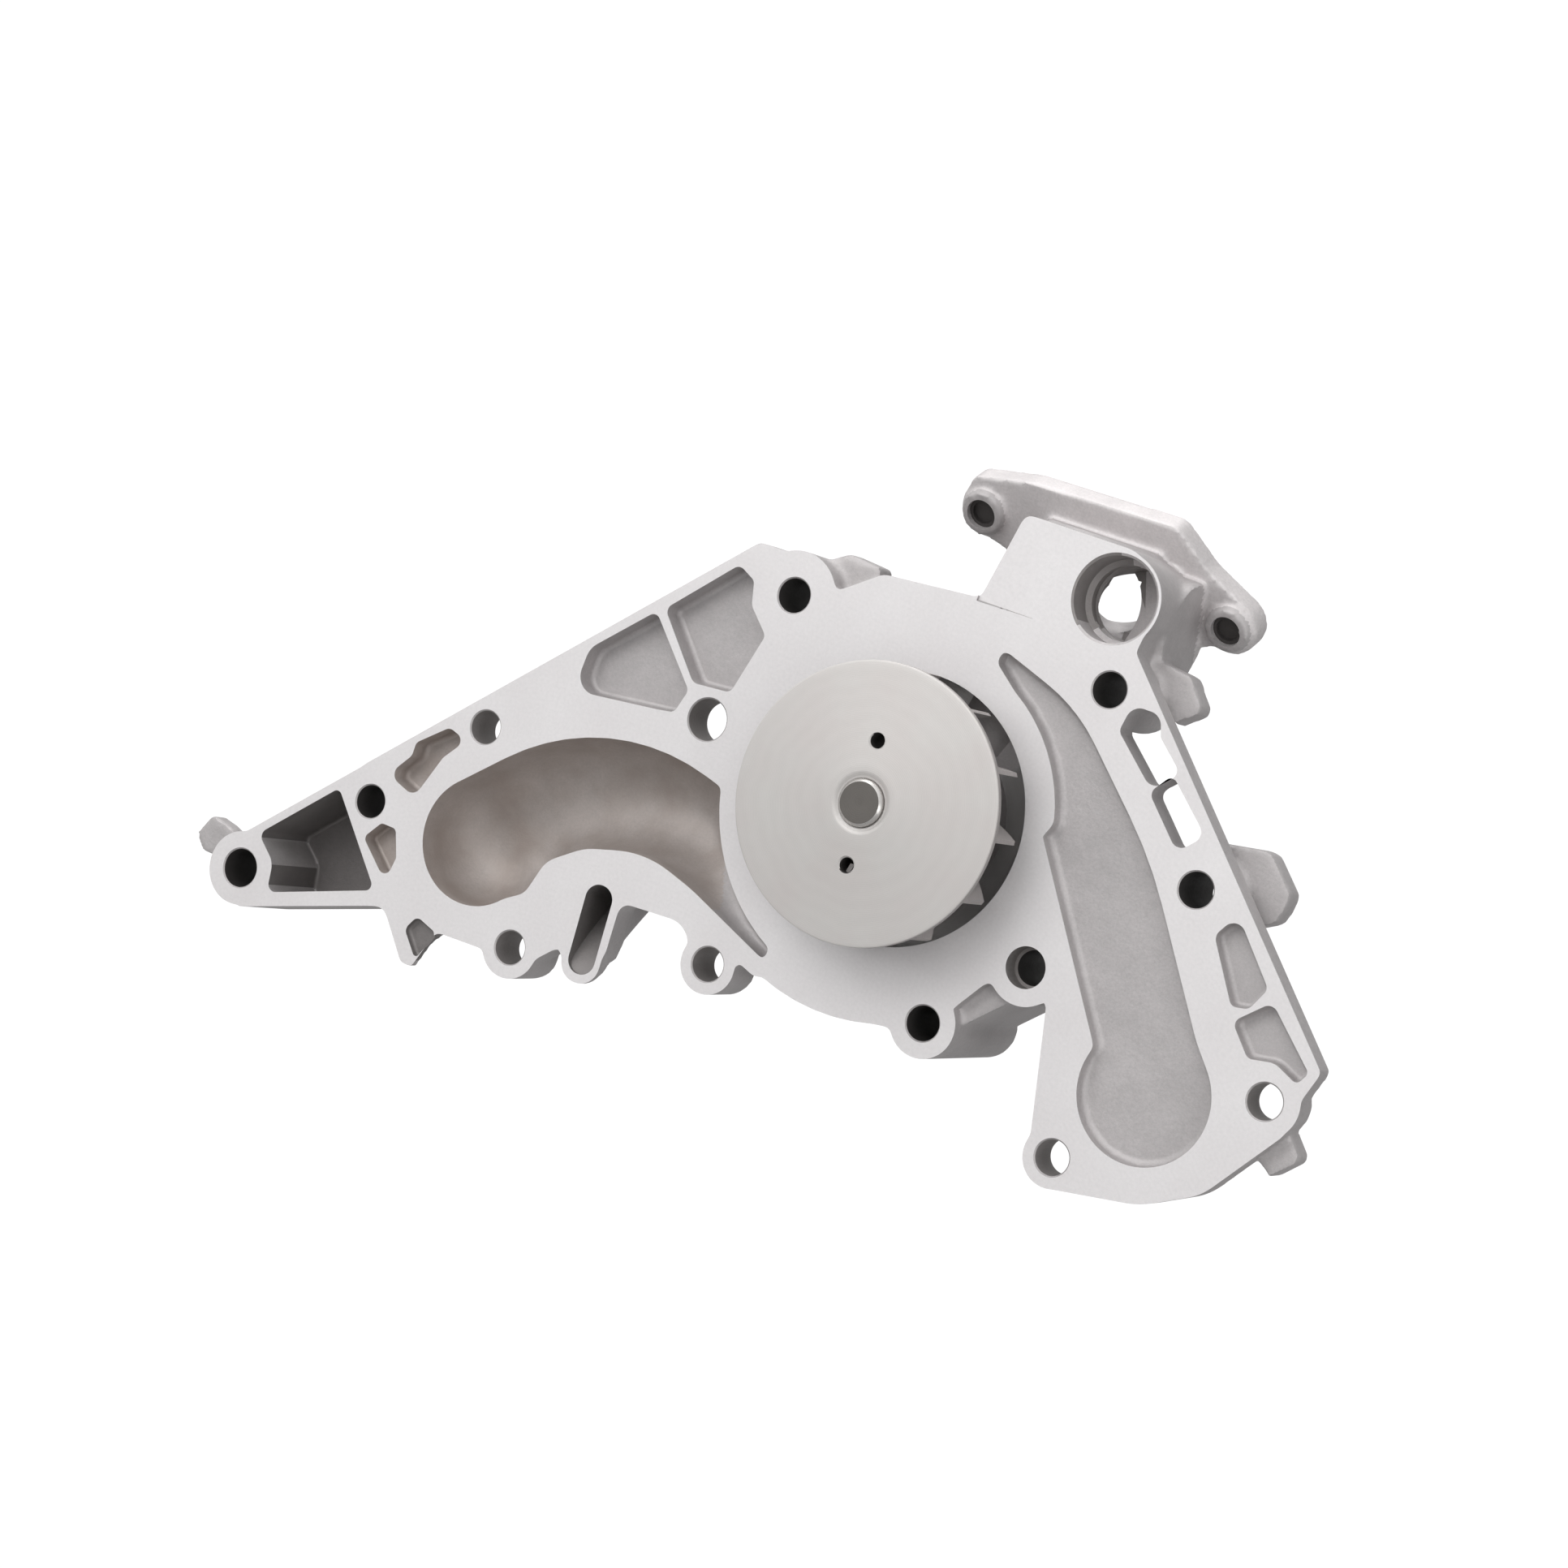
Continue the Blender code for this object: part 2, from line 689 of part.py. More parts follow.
def make_shaft(parts, material):
    profile = [
        (0, SHAFT_Y1),
        (SHAFT_R - 0.8, SHAFT_Y1),
        (SHAFT_R, SHAFT_Y1 - 0.8),
        *groove(-1),
        (SHAFT_R, SHAFT_SHOULDER_Y + 0.5),
        (SHAFT_R - 0.5, SHAFT_SHOULDER_Y),
        (SHAFT_THIN_R, SHAFT_SHOULDER_Y),
        (SHAFT_THIN_R, SHAFT_Y0 + 0.6),
        (SHAFT_THIN_R - 0.6, SHAFT_Y0),
        (0, SHAFT_Y0),
    ]
    finish(turned("pump_shaft", profile, parts, 24, ring=False), material)


def vane_outline(turn):
    """A backward-curved vane of even thickness, turned about the axis by an angle in degrees."""
    sides = ([], [])
    for radius in VANE_RADII:
        angle = math.radians(turn + VANE_SWEEP * (VANE_RADII[-1] - radius))
        point = Vector((math.cos(angle), math.sin(angle))) * radius
        across = Vector((-math.sin(angle), math.cos(angle))) * VANE_HALF
        sides[0].append((*(point + across), 0))
        sides[1].insert(0, (*(point - across), 0))
    return sides[0] + sides[1]


def make_impeller(parts, helpers, booleans, material):
    bore_r = SHAFT_THIN_R + GAP
    seat_r, seat_y = 14.8, -4.3
    profile = [
        (IMPELLER_HUB_R, IMPELLER_HUB_Y),
        (IMPELLER_HUB_R, -14.5),
        (19.0, -16.5),
        (IMPELLER_R - 0.3, -16.9),
        (IMPELLER_R, -17.2),
        (IMPELLER_R, IMPELLER_Y + 0.3),
        (IMPELLER_R - 0.3, IMPELLER_Y),
        (20.0, -20.2),
        (10.0, -21.1),
        (8.8, -21.1),
        (8.0, -20.5),
        (bore_r, -20.5),
        (bore_r, seat_y),
        (seat_r, seat_y),
        (seat_r, IMPELLER_HUB_Y),
    ]
    impeller = turned("impeller", profile, parts, 40)
    vanes = helper_collection("impeller_vanes", helpers)
    for i in range(VANES):
        prism(f"vane_{i}", vane_outline(VANE_TURN + 360 * i / VANES), *VANE_Y, vanes)
    holes = helper_collection("puller_holes", helpers)
    for i, degrees in enumerate(PULLER_ANGLES):
        x, z = PULLER_R * math.cos(math.radians(degrees)), PULLER_R * math.sin(math.radians(degrees))
        along_y(f"puller_{i}", x, z, SHAFT_Y0 - 1, -12, PULLER_HOLE_R, holes, 12)
    booleans.append((impeller, "UNION", vanes))
    booleans.append((impeller, "DIFFERENCE", holes))
    finish(impeller, material)


def make_bearing(parts, helpers, booleans, steel, rubber, brass):
    edge = 0.6
    ring = [
        (BEARING_R - edge, BEARING_Y1),
        (BEARING_R, BEARING_Y1 - edge),
        (BEARING_R, BEARING_Y0 + edge),
        (BEARING_R - edge, BEARING_Y0),
        (OUTER_RACE_R, BEARING_Y0),
        *groove(1),
        (OUTER_RACE_R, BEARING_Y1),
    ]
    finish(turned("bearing_outer_ring", ring, parts, 30), steel)
    make_row(parts, helpers, booleans, "ball", steel, brass)
    make_row(parts, helpers, booleans, "roller", steel, brass)
    outer, middle, lip = OUTER_RACE_R - GAP, 9.4, SHAFT_R + GAP
    for name, y in BEARING_SEALS.items():
        seal = [
            (outer, y + 1.3),
            (outer, y),
            (middle, y),
            (lip, y + 0.3),
            (lip, y + 1.0),
            (middle, y + 1.3),
        ]
        finish(turned(name, seal, parts, 24), rubber)


def rolling_mesh(kind):
    """The mesh that all balls or all rollers share."""
    mesh = bpy.data.meshes.new(f"bearing_{kind}")
    shape = bmesh.new()
    if kind == "ball":
        bmesh.ops.create_uvsphere(shape, u_segments=10, v_segments=6, radius=BALL_R * MM)
    else:
        bmesh.ops.create_cone(
            shape,
            cap_ends=True,
            segments=12,
            radius1=ROLLER_R * MM,
            radius2=ROLLER_R * MM,
            depth=ROLLER_LENGTH * MM,
            matrix=Matrix.Rotation(math.pi / 2, 4, "X"),
        )
    shape.to_mesh(mesh)
    shape.free()
    return mesh


def make_row(parts, helpers, booleans, kind, steel, brass):
    """One row of balls or rollers with its cage."""
    count, y = (BALLS, BALL_Y) if kind == "ball" else (ROLLERS, ROLLER_Y)
    inner, outer, half = CAGES[kind]
    profile = [(outer, y + half), (outer, y - half), (inner, y - half), (inner, y + half)]
    cage = turned(f"{kind}_cage", profile, parts, count * 3)
    pockets = helper_collection(f"{kind}_pockets", helpers)
    mesh = rolling_mesh(kind)
    for i in range(count):
        angle = 2 * math.pi * i / count
        direction = Vector((math.cos(angle), 0, math.sin(angle)))
        piece = bpy.data.objects.new(f"bearing_{kind}_{i + 1}", mesh)
        piece.location = (direction * PITCH_R + Vector((0, y, 0))) * MM
        parts.objects.link(piece)
        finish(piece, steel)
        start = direction * (PITCH_R - 3) + Vector((0, y, 0))
        end = direction * (PITCH_R + 3) + Vector((0, y, 0))
        if kind == "ball":
            cylinder(f"ball_pocket_{i}", start, end, BALL_R + GAP, pockets, 10)
        else:
            roller_pocket(f"roller_pocket_{i}", start, end, angle, pockets)
    booleans.append((cage, "DIFFERENCE", pockets))
    finish(cage, brass)


def roller_pocket(name, start, end, angle, collection):
    """A radial window of the roller cage."""
    shape = bmesh.new()
    bmesh.ops.create_cube(shape, size=1.0)
    reach = (end - start).length
    size = Matrix.Diagonal((reach, ROLLER_LENGTH + 2 * GAP, 2 * (ROLLER_R + GAP), 1))
    place = Matrix.Translation((start + end) / 2) @ Matrix.Rotation(-angle, 4, "Y")
    bmesh.ops.transform(shape, matrix=Matrix.Scale(MM, 4) @ place @ size, verts=shape.verts)
    mesh = bpy.data.meshes.new(name)
    shape.to_mesh(mesh)
    shape.free()
    collection.objects.link(bpy.data.objects.new(name, mesh))


def make_face_seal(parts, steel, rubber, carbon, ceramic):
    lip_y = SEAL_TUBE_Y - GAP
    bore_r = SHAFT_THIN_R + 1.3
    case = [
        (16.2, 20.2),
        (16.2, lip_y),
        (19.5, lip_y),
        (19.5, 6.2),
        (15.2, 6.2),
        (15.2, 19.2),
        (8.2, 19.2),
        (8.2, 20.2),
    ]
    bellows = [
        (9.6, 18.9),
        (9.6, 16.5),
        (10.1, 15.5),
        (10.1, 14.3),
        (9.2, 13.3),
        (9.2, 12.1),
        (10.1, 11.1),
        (10.1, 9.9),
        (9.6, 8.9),
        (9.6, 7.3),
        (8.0, 7.3),
        (8.0, 9.6),
        (8.6, 10.4),
        (8.0, 11.6),
        (8.0, 13.8),
        (8.6, 14.9),
        (8.0, 16.0),
        (8.0, 18.9),
    ]
    carbon_ring = [
        (12.3, 7.0),
        (12.3, 4.6),
        (10.8, 4.0),
        (10.8, 2.3),
        (8.2, 2.3),
        (8.2, 7.0),
    ]
    ceramic_ring = [(11.9, 2.0), (11.9, -2.6), (bore_r, -2.6), (bore_r, 2.0)]
    boot = [(14.5, 0.5), (14.5, -4.0), (bore_r, -4.0), (bore_r, -2.9), (12.2, -2.9), (12.2, 0.5)]
    slinger = [(9.8, 22.4), (9.8, 21.6), (SHAFT_THIN_R + GAP, 21.6), (SHAFT_THIN_R + GAP, 22.4)]
    finish(turned("seal_case", case, parts, 28), steel)
    finish(turned("seal_bellows", bellows, parts, 20), rubber)
    finish(turned("seal_carbon_ring", carbon_ring, parts, 24), carbon)
    finish(turned("seal_ceramic_ring", ceramic_ring, parts, 24), ceramic)
    finish(turned("seal_seat_boot", boot, parts, 24), rubber)
    finish(turned("shaft_slinger", slinger, parts, 24), steel)
    make_spring(parts, steel)


def make_spring(parts, steel):
    """The coil spring between the carbon ring and the bottom of the seal case."""
    turns, per_turn, wire, radius = 4, 12, 0.7, 11.4
    low, high = 7.0 + GAP + wire, 19.2 - GAP - wire
    curve = bpy.data.curves.new("seal_spring", "CURVE")
    curve.dimensions = "3D"
    curve.bevel_depth = wire * MM
    curve.bevel_resolution = 1
    curve.use_fill_caps = True
    spline = curve.splines.new("POLY")
    count = turns * per_turn
    spline.points.add(count)
    for i, point in enumerate(spline.points):
        angle = 2 * math.pi * i / per_turn
        y = low + (high - low) * i / count
        point.co = (radius * math.cos(angle) * MM, y * MM, radius * math.sin(angle) * MM, 1)
    finish(from_curve(curve, Matrix.Identity(4), parts), steel)


def make_pulley(parts, helpers, booleans, steel):
    inner_y, outer_y = PULLEY_Y
    bore_r = SHAFT_R + GAP
    profile = [
        (PULLEY_R - 0.8, outer_y),
        (PULLEY_R, outer_y - 0.8),
        (PULLEY_R, inner_y + 1.6),
        (PULLEY_R + 1.2, inner_y + 1),
        (PULLEY_R + 1.2, inner_y),
        (PULLEY_R - 3, inner_y),
        (PULLEY_R - 3, outer_y - 8),
        (PULLEY_R - 5, outer_y - 6),
        (15.0, outer_y - 6),
        (13.0, outer_y - 8),
        (13.0, 65.5),
        (bore_r, 65.5),
        (bore_r, outer_y),
        (13.0, outer_y),
        (15.0, outer_y - 3),
        (PULLEY_R - 5, outer_y - 3),
        (PULLEY_R - 3, outer_y),
    ]
    pulley = turned("belt_pulley", profile, parts, 36)
    holes = helper_collection("pulley_holes", helpers)
    for i in range(PULLEY_HOLES):
        angle = math.radians(360 * (i + 0.5) / PULLEY_HOLES)
        x, z = PULLEY_HOLE_PITCH_R * math.cos(angle), PULLEY_HOLE_PITCH_R * math.sin(angle)
        along_y(f"pulley_hole_{i}", x, z, outer_y - 10, outer_y + 2, PULLEY_HOLE_R, holes, 12)
    booleans.append((pulley, "DIFFERENCE", holes))
    finish(pulley, steel)


def main():
    clear_scene()
    parts = new_collection("water_pump")
    helpers = new_collection("cutters")
    aluminium = new_material("cast_aluminium", ALUMINIUM, 0.45, 0.9)
    steel = new_material("steel", STEEL, 0.35, 1.0)
    rubber = new_material("rubber", RUBBER, 0.8, 0.0)
    carbon = new_material("carbon", CARBON, 0.5, 0.0)
    ceramic = new_material("ceramic", CERAMIC, 0.3, 0.0)
    brass = new_material("cage_brass", BRASS, 0.4, 1.0)
    booleans = []
    make_housing(parts, helpers, booleans, aluminium)
    make_shaft(parts, steel)
    make_impeller(parts, helpers, booleans, steel)
    make_bearing(parts, helpers, booleans, steel, rubber, brass)
    make_face_seal(parts, steel, rubber, carbon, ceramic)
    make_pulley(parts, helpers, booleans, steel)
    hide_helpers(helpers)
    for obj, operation, collection in booleans:
        add_boolean(obj, operation, collection)


main()
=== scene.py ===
"""Looks of the coolant pump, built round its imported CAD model.

The origin is where the shaft's axis crosses the machined gasket face. +Y runs along the shaft
from the engine to the belt pulley, +Z is the engine's up and +X is to the right as seen from
the engine. Lengths are millimetres until a mesh is made from them.
"""

import math

import bmesh
import bpy
import numpy as np
from mathutils import Matrix, Vector

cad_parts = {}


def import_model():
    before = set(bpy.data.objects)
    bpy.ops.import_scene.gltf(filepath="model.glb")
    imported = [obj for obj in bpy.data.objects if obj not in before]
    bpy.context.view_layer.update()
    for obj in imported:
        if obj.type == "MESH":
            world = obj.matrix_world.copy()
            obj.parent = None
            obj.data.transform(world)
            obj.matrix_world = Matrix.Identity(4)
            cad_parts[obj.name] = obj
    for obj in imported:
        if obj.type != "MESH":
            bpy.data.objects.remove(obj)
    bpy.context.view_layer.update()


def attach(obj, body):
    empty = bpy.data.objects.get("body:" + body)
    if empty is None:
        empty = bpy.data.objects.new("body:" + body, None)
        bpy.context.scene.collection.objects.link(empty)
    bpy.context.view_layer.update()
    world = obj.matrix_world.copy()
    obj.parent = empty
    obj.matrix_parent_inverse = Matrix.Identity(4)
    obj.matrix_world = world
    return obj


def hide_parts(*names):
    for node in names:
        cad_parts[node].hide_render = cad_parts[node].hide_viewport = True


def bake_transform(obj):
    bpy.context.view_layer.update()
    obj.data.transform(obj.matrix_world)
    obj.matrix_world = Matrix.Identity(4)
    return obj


MM = 0.001
GAP = 0.3
ARC_STEP = 6.0  # degrees between the points of a rounded outline
SPIKE_DEPTH = 1.8  # the spike is thinner than the rest of the plate
STOCK_Y = -4.0  # where the raw casting starts, before its gasket face is milled

# Gasket face and casting
PLATE_Y = 8.0  # thickness of the face plate
BOLT_R = 4.4  # M8 clearance holes
BULB_R = 17.0  # round lower end of each volute pocket
LEFT_BULB = (-109.5, -47.5)
RIGHT_BULB = (85.0, -42.8)
LEFT_DEPTH = 21.0  # depth of the left volute pocket
RIGHT_DEPTH = 4.0  # depth of the right volute pocket
SOFT_EDGE = 1.4  # round at the bottom of a lightening pocket
SHARP_EDGE = 0.9  # the same, in the pockets with tight corners
SHARP_POCKETS = ("arm", "left_small", "spike")
LEFT_FILLET = 14.0  # round between the left pocket's wall and its floor
RIGHT_FILLET = 1.1  # the same, in the right pocket
LEFT_RING_R = 48.8  # outer radius of the land between suction chamber and left pocket
RIGHT_RING_R = 42.0  # the same, at the right pocket

# Hub, from the engine side to the pulley side
CHAMBER_R = 34.3
CHAMBER_Y = 21.0
HUB_R = 40.0
HUB_Y = 28.5
SEAL_TUBE_R = 21.0
SEAL_TUBE_Y = 7.5
SEAL_BORE_R = 16.5
SEAL_BORE_Y = 20.5
DRAIN_R = 11.0
BEARING_Y0 = 27.5
BEARING_Y1 = 64.5
BEARING_R = 15.0
TOWER_R = 20.5

# Coolant ways behind the face: two parallel to the top of the neck, one down to the chamber
GALLERY = ((5.0, 24.0, 63.0), (48.0, 24.0, 63.0))
GALLERY_R = 13.5
GALLERY_BORE_R = 9.5
SUCTION_TOP = (17.0, 22.0, 60.0)
SUCTION_R = 13.0
SUCTION_BORE_R = 8.5
WEEP_Y = 25.0
WEEP_R = 1.6

# Shaft, impeller and pulley
SHAFT_THIN_R = 5.9  # in the impeller and the seal
SHAFT_R = 7.9  # in the bearing and the pulley
SHAFT_Y0 = -22.0
SHAFT_SHOULDER_Y = 23.0
SHAFT_Y1 = 76.5
IMPELLER_R = 35.0
IMPELLER_Y = -19.0  # plane of the disc's rim
IMPELLER_HUB_R = 17.0
IMPELLER_HUB_Y = 0.8
VANES = 13
VANE_TURN = 4.5  # degrees from +X to the rim of the first vane
VANE_SWEEP = 1.15  # degrees a vane leans back for each millimetre towards the shaft
VANE_RADII = (15.0, 21.5, 28.0, 34.6)
VANE_HALF = 0.9
VANE_Y = (-18.0, -4.0)
PULLER_R = 15.5
PULLER_HOLE_R = 1.9
PULLER_ANGLES = (95.5, 275.5)
PULLEY_R = 36.0
PULLEY_Y = (45.0, 76.0)
PULLEY_HOLES = 6
PULLEY_HOLE_R = 4.5
PULLEY_HOLE_PITCH_R = 23.0

# Ball and roller rows of the shaft bearing
BALLS = 9
BALL_R = 2.35
BALL_Y = 35.5
ROLLERS = 11
ROLLER_R = 1.75
ROLLER_Y = 53.0
ROLLER_LENGTH = 12.0
PITCH_R = 10.0
OUTER_RACE_R = 12.1
CAGES = {  # inner radius, outer radius, half length
    "ball": (8.9, 11.2, 4.0),
    "roller": (9.0, 11.0, 8.0),
}
ROLLER_POCKET = [(2, 6.2, 0.5), (-2, 6.2, 0.5), (-2, -6.2, 0.5), (2, -6.2, 0.5)]
BEARING_SEALS = {"bearing_seal_rear": 28.9, "bearing_seal_front": 62.3}

# Thermostat flange: middle of its back face, and the tilt of its normal up from +Y
FLANGE_AT = Vector((20.0, 28.0, 71.0))
FLANGE_TILT = math.radians(30.0)
FLANGE_T = 6.0
THERMOSTAT_R = 15.5
THERMOSTAT_BODY_R = 19.0
EARS = ((-34.2, 6.4), (36.0, -2.8))  # across and up the flange, from its middle
EAR_R = 7.3
EAR_HOLE_R = 3.4
BYPASS = (36.3, 66.2)  # axis of the bypass bore
BYPASS_R = 9.4
BYPASS_ENTRY_R = 10.7

# Bolt bosses of the face: x, z, boss radius, boss length, hole radius
BOSSES = {
    "arm_end": (-177.2, -79.1, 10.0, 28.0, 5.2),
    "left_low": (-144.7, -48.7, 8.0, 24.0, BOLT_R),
    "left_edge": (-118.4, -18.9, 7.5, 13.0, BOLT_R),
    "left_inner": (-57.4, 3.8, 9.3, 11.0, 5.4),
    "apex": (-45.5, 40.9, 11.5, 24.0, BOLT_R),
    "right_top": (42.8, 45.2, 9.0, 26.0, BOLT_R),
    "right_middle": (80.2, 7.5, 8.5, 26.0, BOLT_R),
    "right_tip": (113.4, -33.2, 8.9, 10.0, BOLT_R),
    "right_foot": (68.5, -65.1, 7.7, 11.0, BOLT_R),
    "leg_inner": (46.1, -24.8, 9.6, 26.0, BOLT_R),
    "bottom": (25.5, -47.0, 8.8, 42.0, BOLT_R),
    "bottom_left": (-35.0, -54.1, 7.8, 13.0, BOLT_R),
    "foot_left": (-90.5, -70.1, 8.2, 13.0, BOLT_R),
}

# Outlines on the gasket face.
# A corner is (x, z, radius) and an arc is (x, z, radius, first angle, last angle).
FACE = [
    (-150.0, -40.0, 0), (-59.3, 50.7, 3), (-45.0, 50.7, 0), (-34.5, 45.6, 2), (-23.8, 53.4, 4),
    (2.6, 55.8, 0), (45.5, 56.3, 1), (123.9, -22.1, 0.8), (120.6, -33.0, 3), (120.5, -39.0, 3),
    (106.5, -59.5, 14), (93.0, -67.5, 20), (68.5, -72.8, 0), (61.5, -62.0, 3), (53.5, -28.0, 4),
    (38.0, -31.5, 4), (31.0, -42.0, 4), (18.0, -51.0, 3), (-3.0, 0.0, 54.3, -73, -108),
    (-29.0, -50.5, 3), (-40.0, -58.5, 0), (-43.2, -46.5, 7), (-64.0, -48.0, 3), (-63.2, -66.5, 5.9),
    (-75.3, -67.0, 5.9), (-76.5, -64.5, 1.5), (-84.5, -72.5, 2), (-97.0, -73.2, 2),
    (-112.9, -74.0, 2), (-116.8, -85.2, 0.8), (-120.3, -85.0, 0.8), (-130.5, -73.2, 4),
    (-138.0, -75.7, 0),
]
LEFT_POCKET = [
    (*LEFT_BULB, BULB_R, 136, 318), (-91.5, -55.5, 5), (-88.5, -45.5, 7), (-79.0, -38.6, 16),
    (-62.0, -33.6, 30), (-46.0, -38.0, 30), (-20.4, -47.8, 1.2),
    (0.0, 0.0, LEFT_RING_R, -114.5, -167), (-85.0, -1.5, 62),
]
LEFT_SHELL = [
    (*LEFT_BULB, BULB_R + 4.5, 130, 312), (-86.0, -51.0, 5), (-63.0, -38.3, 17), (-20.0, -53.0, 3),
    (-10.0, -30.0, 0), (-30.0, -6.0, 0), (-49.0, -4.5, 8), (-85.0, 4.8, 60),
]
RIGHT_POCKET = [
    (0.0, 0.0, RIGHT_RING_R, 14, 62), (12.6, 42.4, 1.0), (13.6, 45.8, 1.2), (36.5, 38.5, 45),
    (67.0, 10.5, 110), (92.8, -26.0, 3), (*RIGHT_BULB, BULB_R, 42, -202), (39.0, 6.5, 0.5),
]
RIGHT_SHELL = [
    (6.0, 52.0, 4), (38.0, 46.0, 35), (72.0, 14.0, 110), (97.5, -21.0, 8),
    (*RIGHT_BULB, BULB_R + 3.8, 38, -205), (36.0, 2.0, 0), (3.0, 34.0, 0),
]
ARM = [
    (-183.1, -73.4, 0), (-147.0, -37.3, 4), (-127.0, -58.0, 4), (-131.5, -73.4, 3),
    (-173.7, -88.9, 0),
]
SLOT_EAR = [(-76.2, -44.0, 3), (-64.6, -43.0, 3), (-63.6, -71.6, 5.5), (-74.9, -72.0, 5.5)]
NECK = [
    (4.0, 42.0, 0), (2.5, 55.0, 0), (6.9, 78.8, 2.5), (40.0, 78.8, 8), (47.4, 66.0, 6),
    (44.4, 42.0, 0),
]
BOTTOM_WEB = [(22.0, -36.0, 0), (31.5, -47.0, 2), (45.5, -33.0, 2), (38.0, -22.0, 0)]
POCKETS = {  # name: (depth, outline)
    "arm": (22.0, [
        (-174.6, -68.4, 2), (-155.2, -48.9, 1.5), (-135.3, -70.2, 1.5), (-166.5, -82.0, 2),
        (-167.6, -74.0, 6),
    ]),
    "left_small": (5.0, [
        (-143.0, -58.2, 1.5), (-139.2, -53.0, 1.5), (-134.6, -53.0, 1.5), (-131.7, -60.0, 1.5),
        (-132.7, -66.8, 2),
    ]),
    "left_long": (6.0, [
        (-141.8, -40.0, 2.5), (-136.8, -33.2, 3), (-136.8, -29.5, 2), (-128.6, -22.6, 2.5),
        (-122.9, -24.2, 2), (-127.8, -30.5, 4), (-132.4, -43.0, 3),
    ]),
    "spike": (4.5, [
        (-122.2, -76.5, 2), (-119.8, -72.2, 2), (-112.6, -74.4, 1.5), (-116.4, -82.8, 1),
    ]),
    "upper_left": (6.0, [
        (-96.8, -1.4, 5), (-96.2, 10.2, 6), (-81.2, 25.0, 2), (-65.3, 9.0, 2), (-67.2, 2.6, 2),
        (-72.0, 1.8, 3),
    ]),
    "upper_right": (6.0, [
        (-78.9, 26.6, 2), (-62.8, 43.4, 2.2), (-57.6, 40.9, 2), (-56.0, 34.8, 4), (-49.6, 28.8, 2),
        (-53.8, 12.4, 2), (-64.6, 11.4, 3),
    ]),
    "slot": (16.0, [
        (-74.3, -45.6, 3.6), (-66.7, -46.2, 3.6), (-65.5, -69.0, 3.6), (-72.9, -69.4, 3.6),
    ]),
    "edge_upper": (9.0, [
        (48.9, 36.8, 2), (50.0, 43.4, 3.4), (57.2, 43.4, 3.4), (59.0, 38.4, 2), (66.6, 32.0, 2),
        (61.3, 26.4, 3),
    ]),
    "edge_lower": (9.0, [(61.4, 25.4, 2), (65.3, 30.8, 1.5), (77.6, 20.1, 2.5), (72.5, 14.7, 2.5)]),
    "leg_upper": (3.5, [
        (88.4, -1.0, 2.5), (92.2, 5.4, 3), (105.0, -8.3, 2), (102.2, -14.3, 2.5), (98.0, -15.2, 2),
    ]),
    "leg_lower": (3.5, [
        (99.6, -18.4, 2), (107.2, -10.9, 2.5), (121.0, -23.2, 1.5), (119.2, -26.6, 1.5),
        (112.6, -23.8, 5), (106.0, -25.2, 2),
    ]),
}
THROUGH = ("edge_upper", "edge_lower")
# Cover lugs on the pulley side: first and last y, outline
LUGS = {
    "arm": (8.0, 14.0, [
        (-184.0, -74.0, 0), (-190.5, -71.2, 1), (-196.6, -70.0, 2), (-199.6, -76.4, 2),
        (-195.8, -80.4, 2), (-184.0, -80.0, 0),
    ]),
    "apex": (6.0, 14.0, [
        (-45.0, 44.0, 0), (-44.4, 51.0, 2), (-37.5, 55.3, 2), (-28.0, 54.6, 1), (-27.0, 48.0, 2),
        (-36.0, 44.0, 0),
    ]),
    "right_top": (12.0, 20.0, [
        (42.0, 46.0, 0), (45.0, 56.0, 3), (57.0, 54.6, 3), (63.0, 47.3, 1.5), (52.0, 38.0, 2),
    ]),
    "right_middle": (12.0, 20.0, [
        (74.0, 8.0, 0), (74.0, 18.6, 2), (90.6, 21.6, 4), (99.4, 13.2, 3), (98.0, 6.0, 4),
        (88.0, 0.0, 0),
    ]),
    "right_tip": (4.0, 12.0, [
        (108.0, -42.0, 0), (119.0, -36.6, 1), (125.2, -43.6, 1), (119.4, -50.0, 1),
    ]),
}
# Ribs on the pulley side: from x, z to x, z, first and last y
RIBS = (
    (-25, 28, -45.5, 40.9, 6, 22), (-38, 8, -57.4, 3.8, 6, 14), (-45.5, 40.9, -118.4, -12.9, 6, 13),
    (-118.4, -15.9, -144.7, -45.7, 6, 16), (30, 24, 42.8, 45.2, 6, 24), (39, 4, 80.2, 7.5, 6, 22),
    (80.2, 7.5, 113.4, -30.2, 6, 13), (18, -34, 25.5, -47.0, 6, 34), (36, -14, 46.1, -24.8, 6, 24),
    (-25, -30, -35.0, -54.1, 6, 12),
)
RIB_T = 4.0


# ---------------------------------------------------------------- shapes


def arc_points(x, z, radius, first, last):
    """Points of an arc, its angles in degrees."""
    count = max(2, math.ceil(abs(last - first) / ARC_STEP))
    angles = (math.radians(first + (last - first) * i / count) for i in range(count + 1))
    return [(x + radius * math.cos(a), z + radius * math.sin(a)) for a in angles]


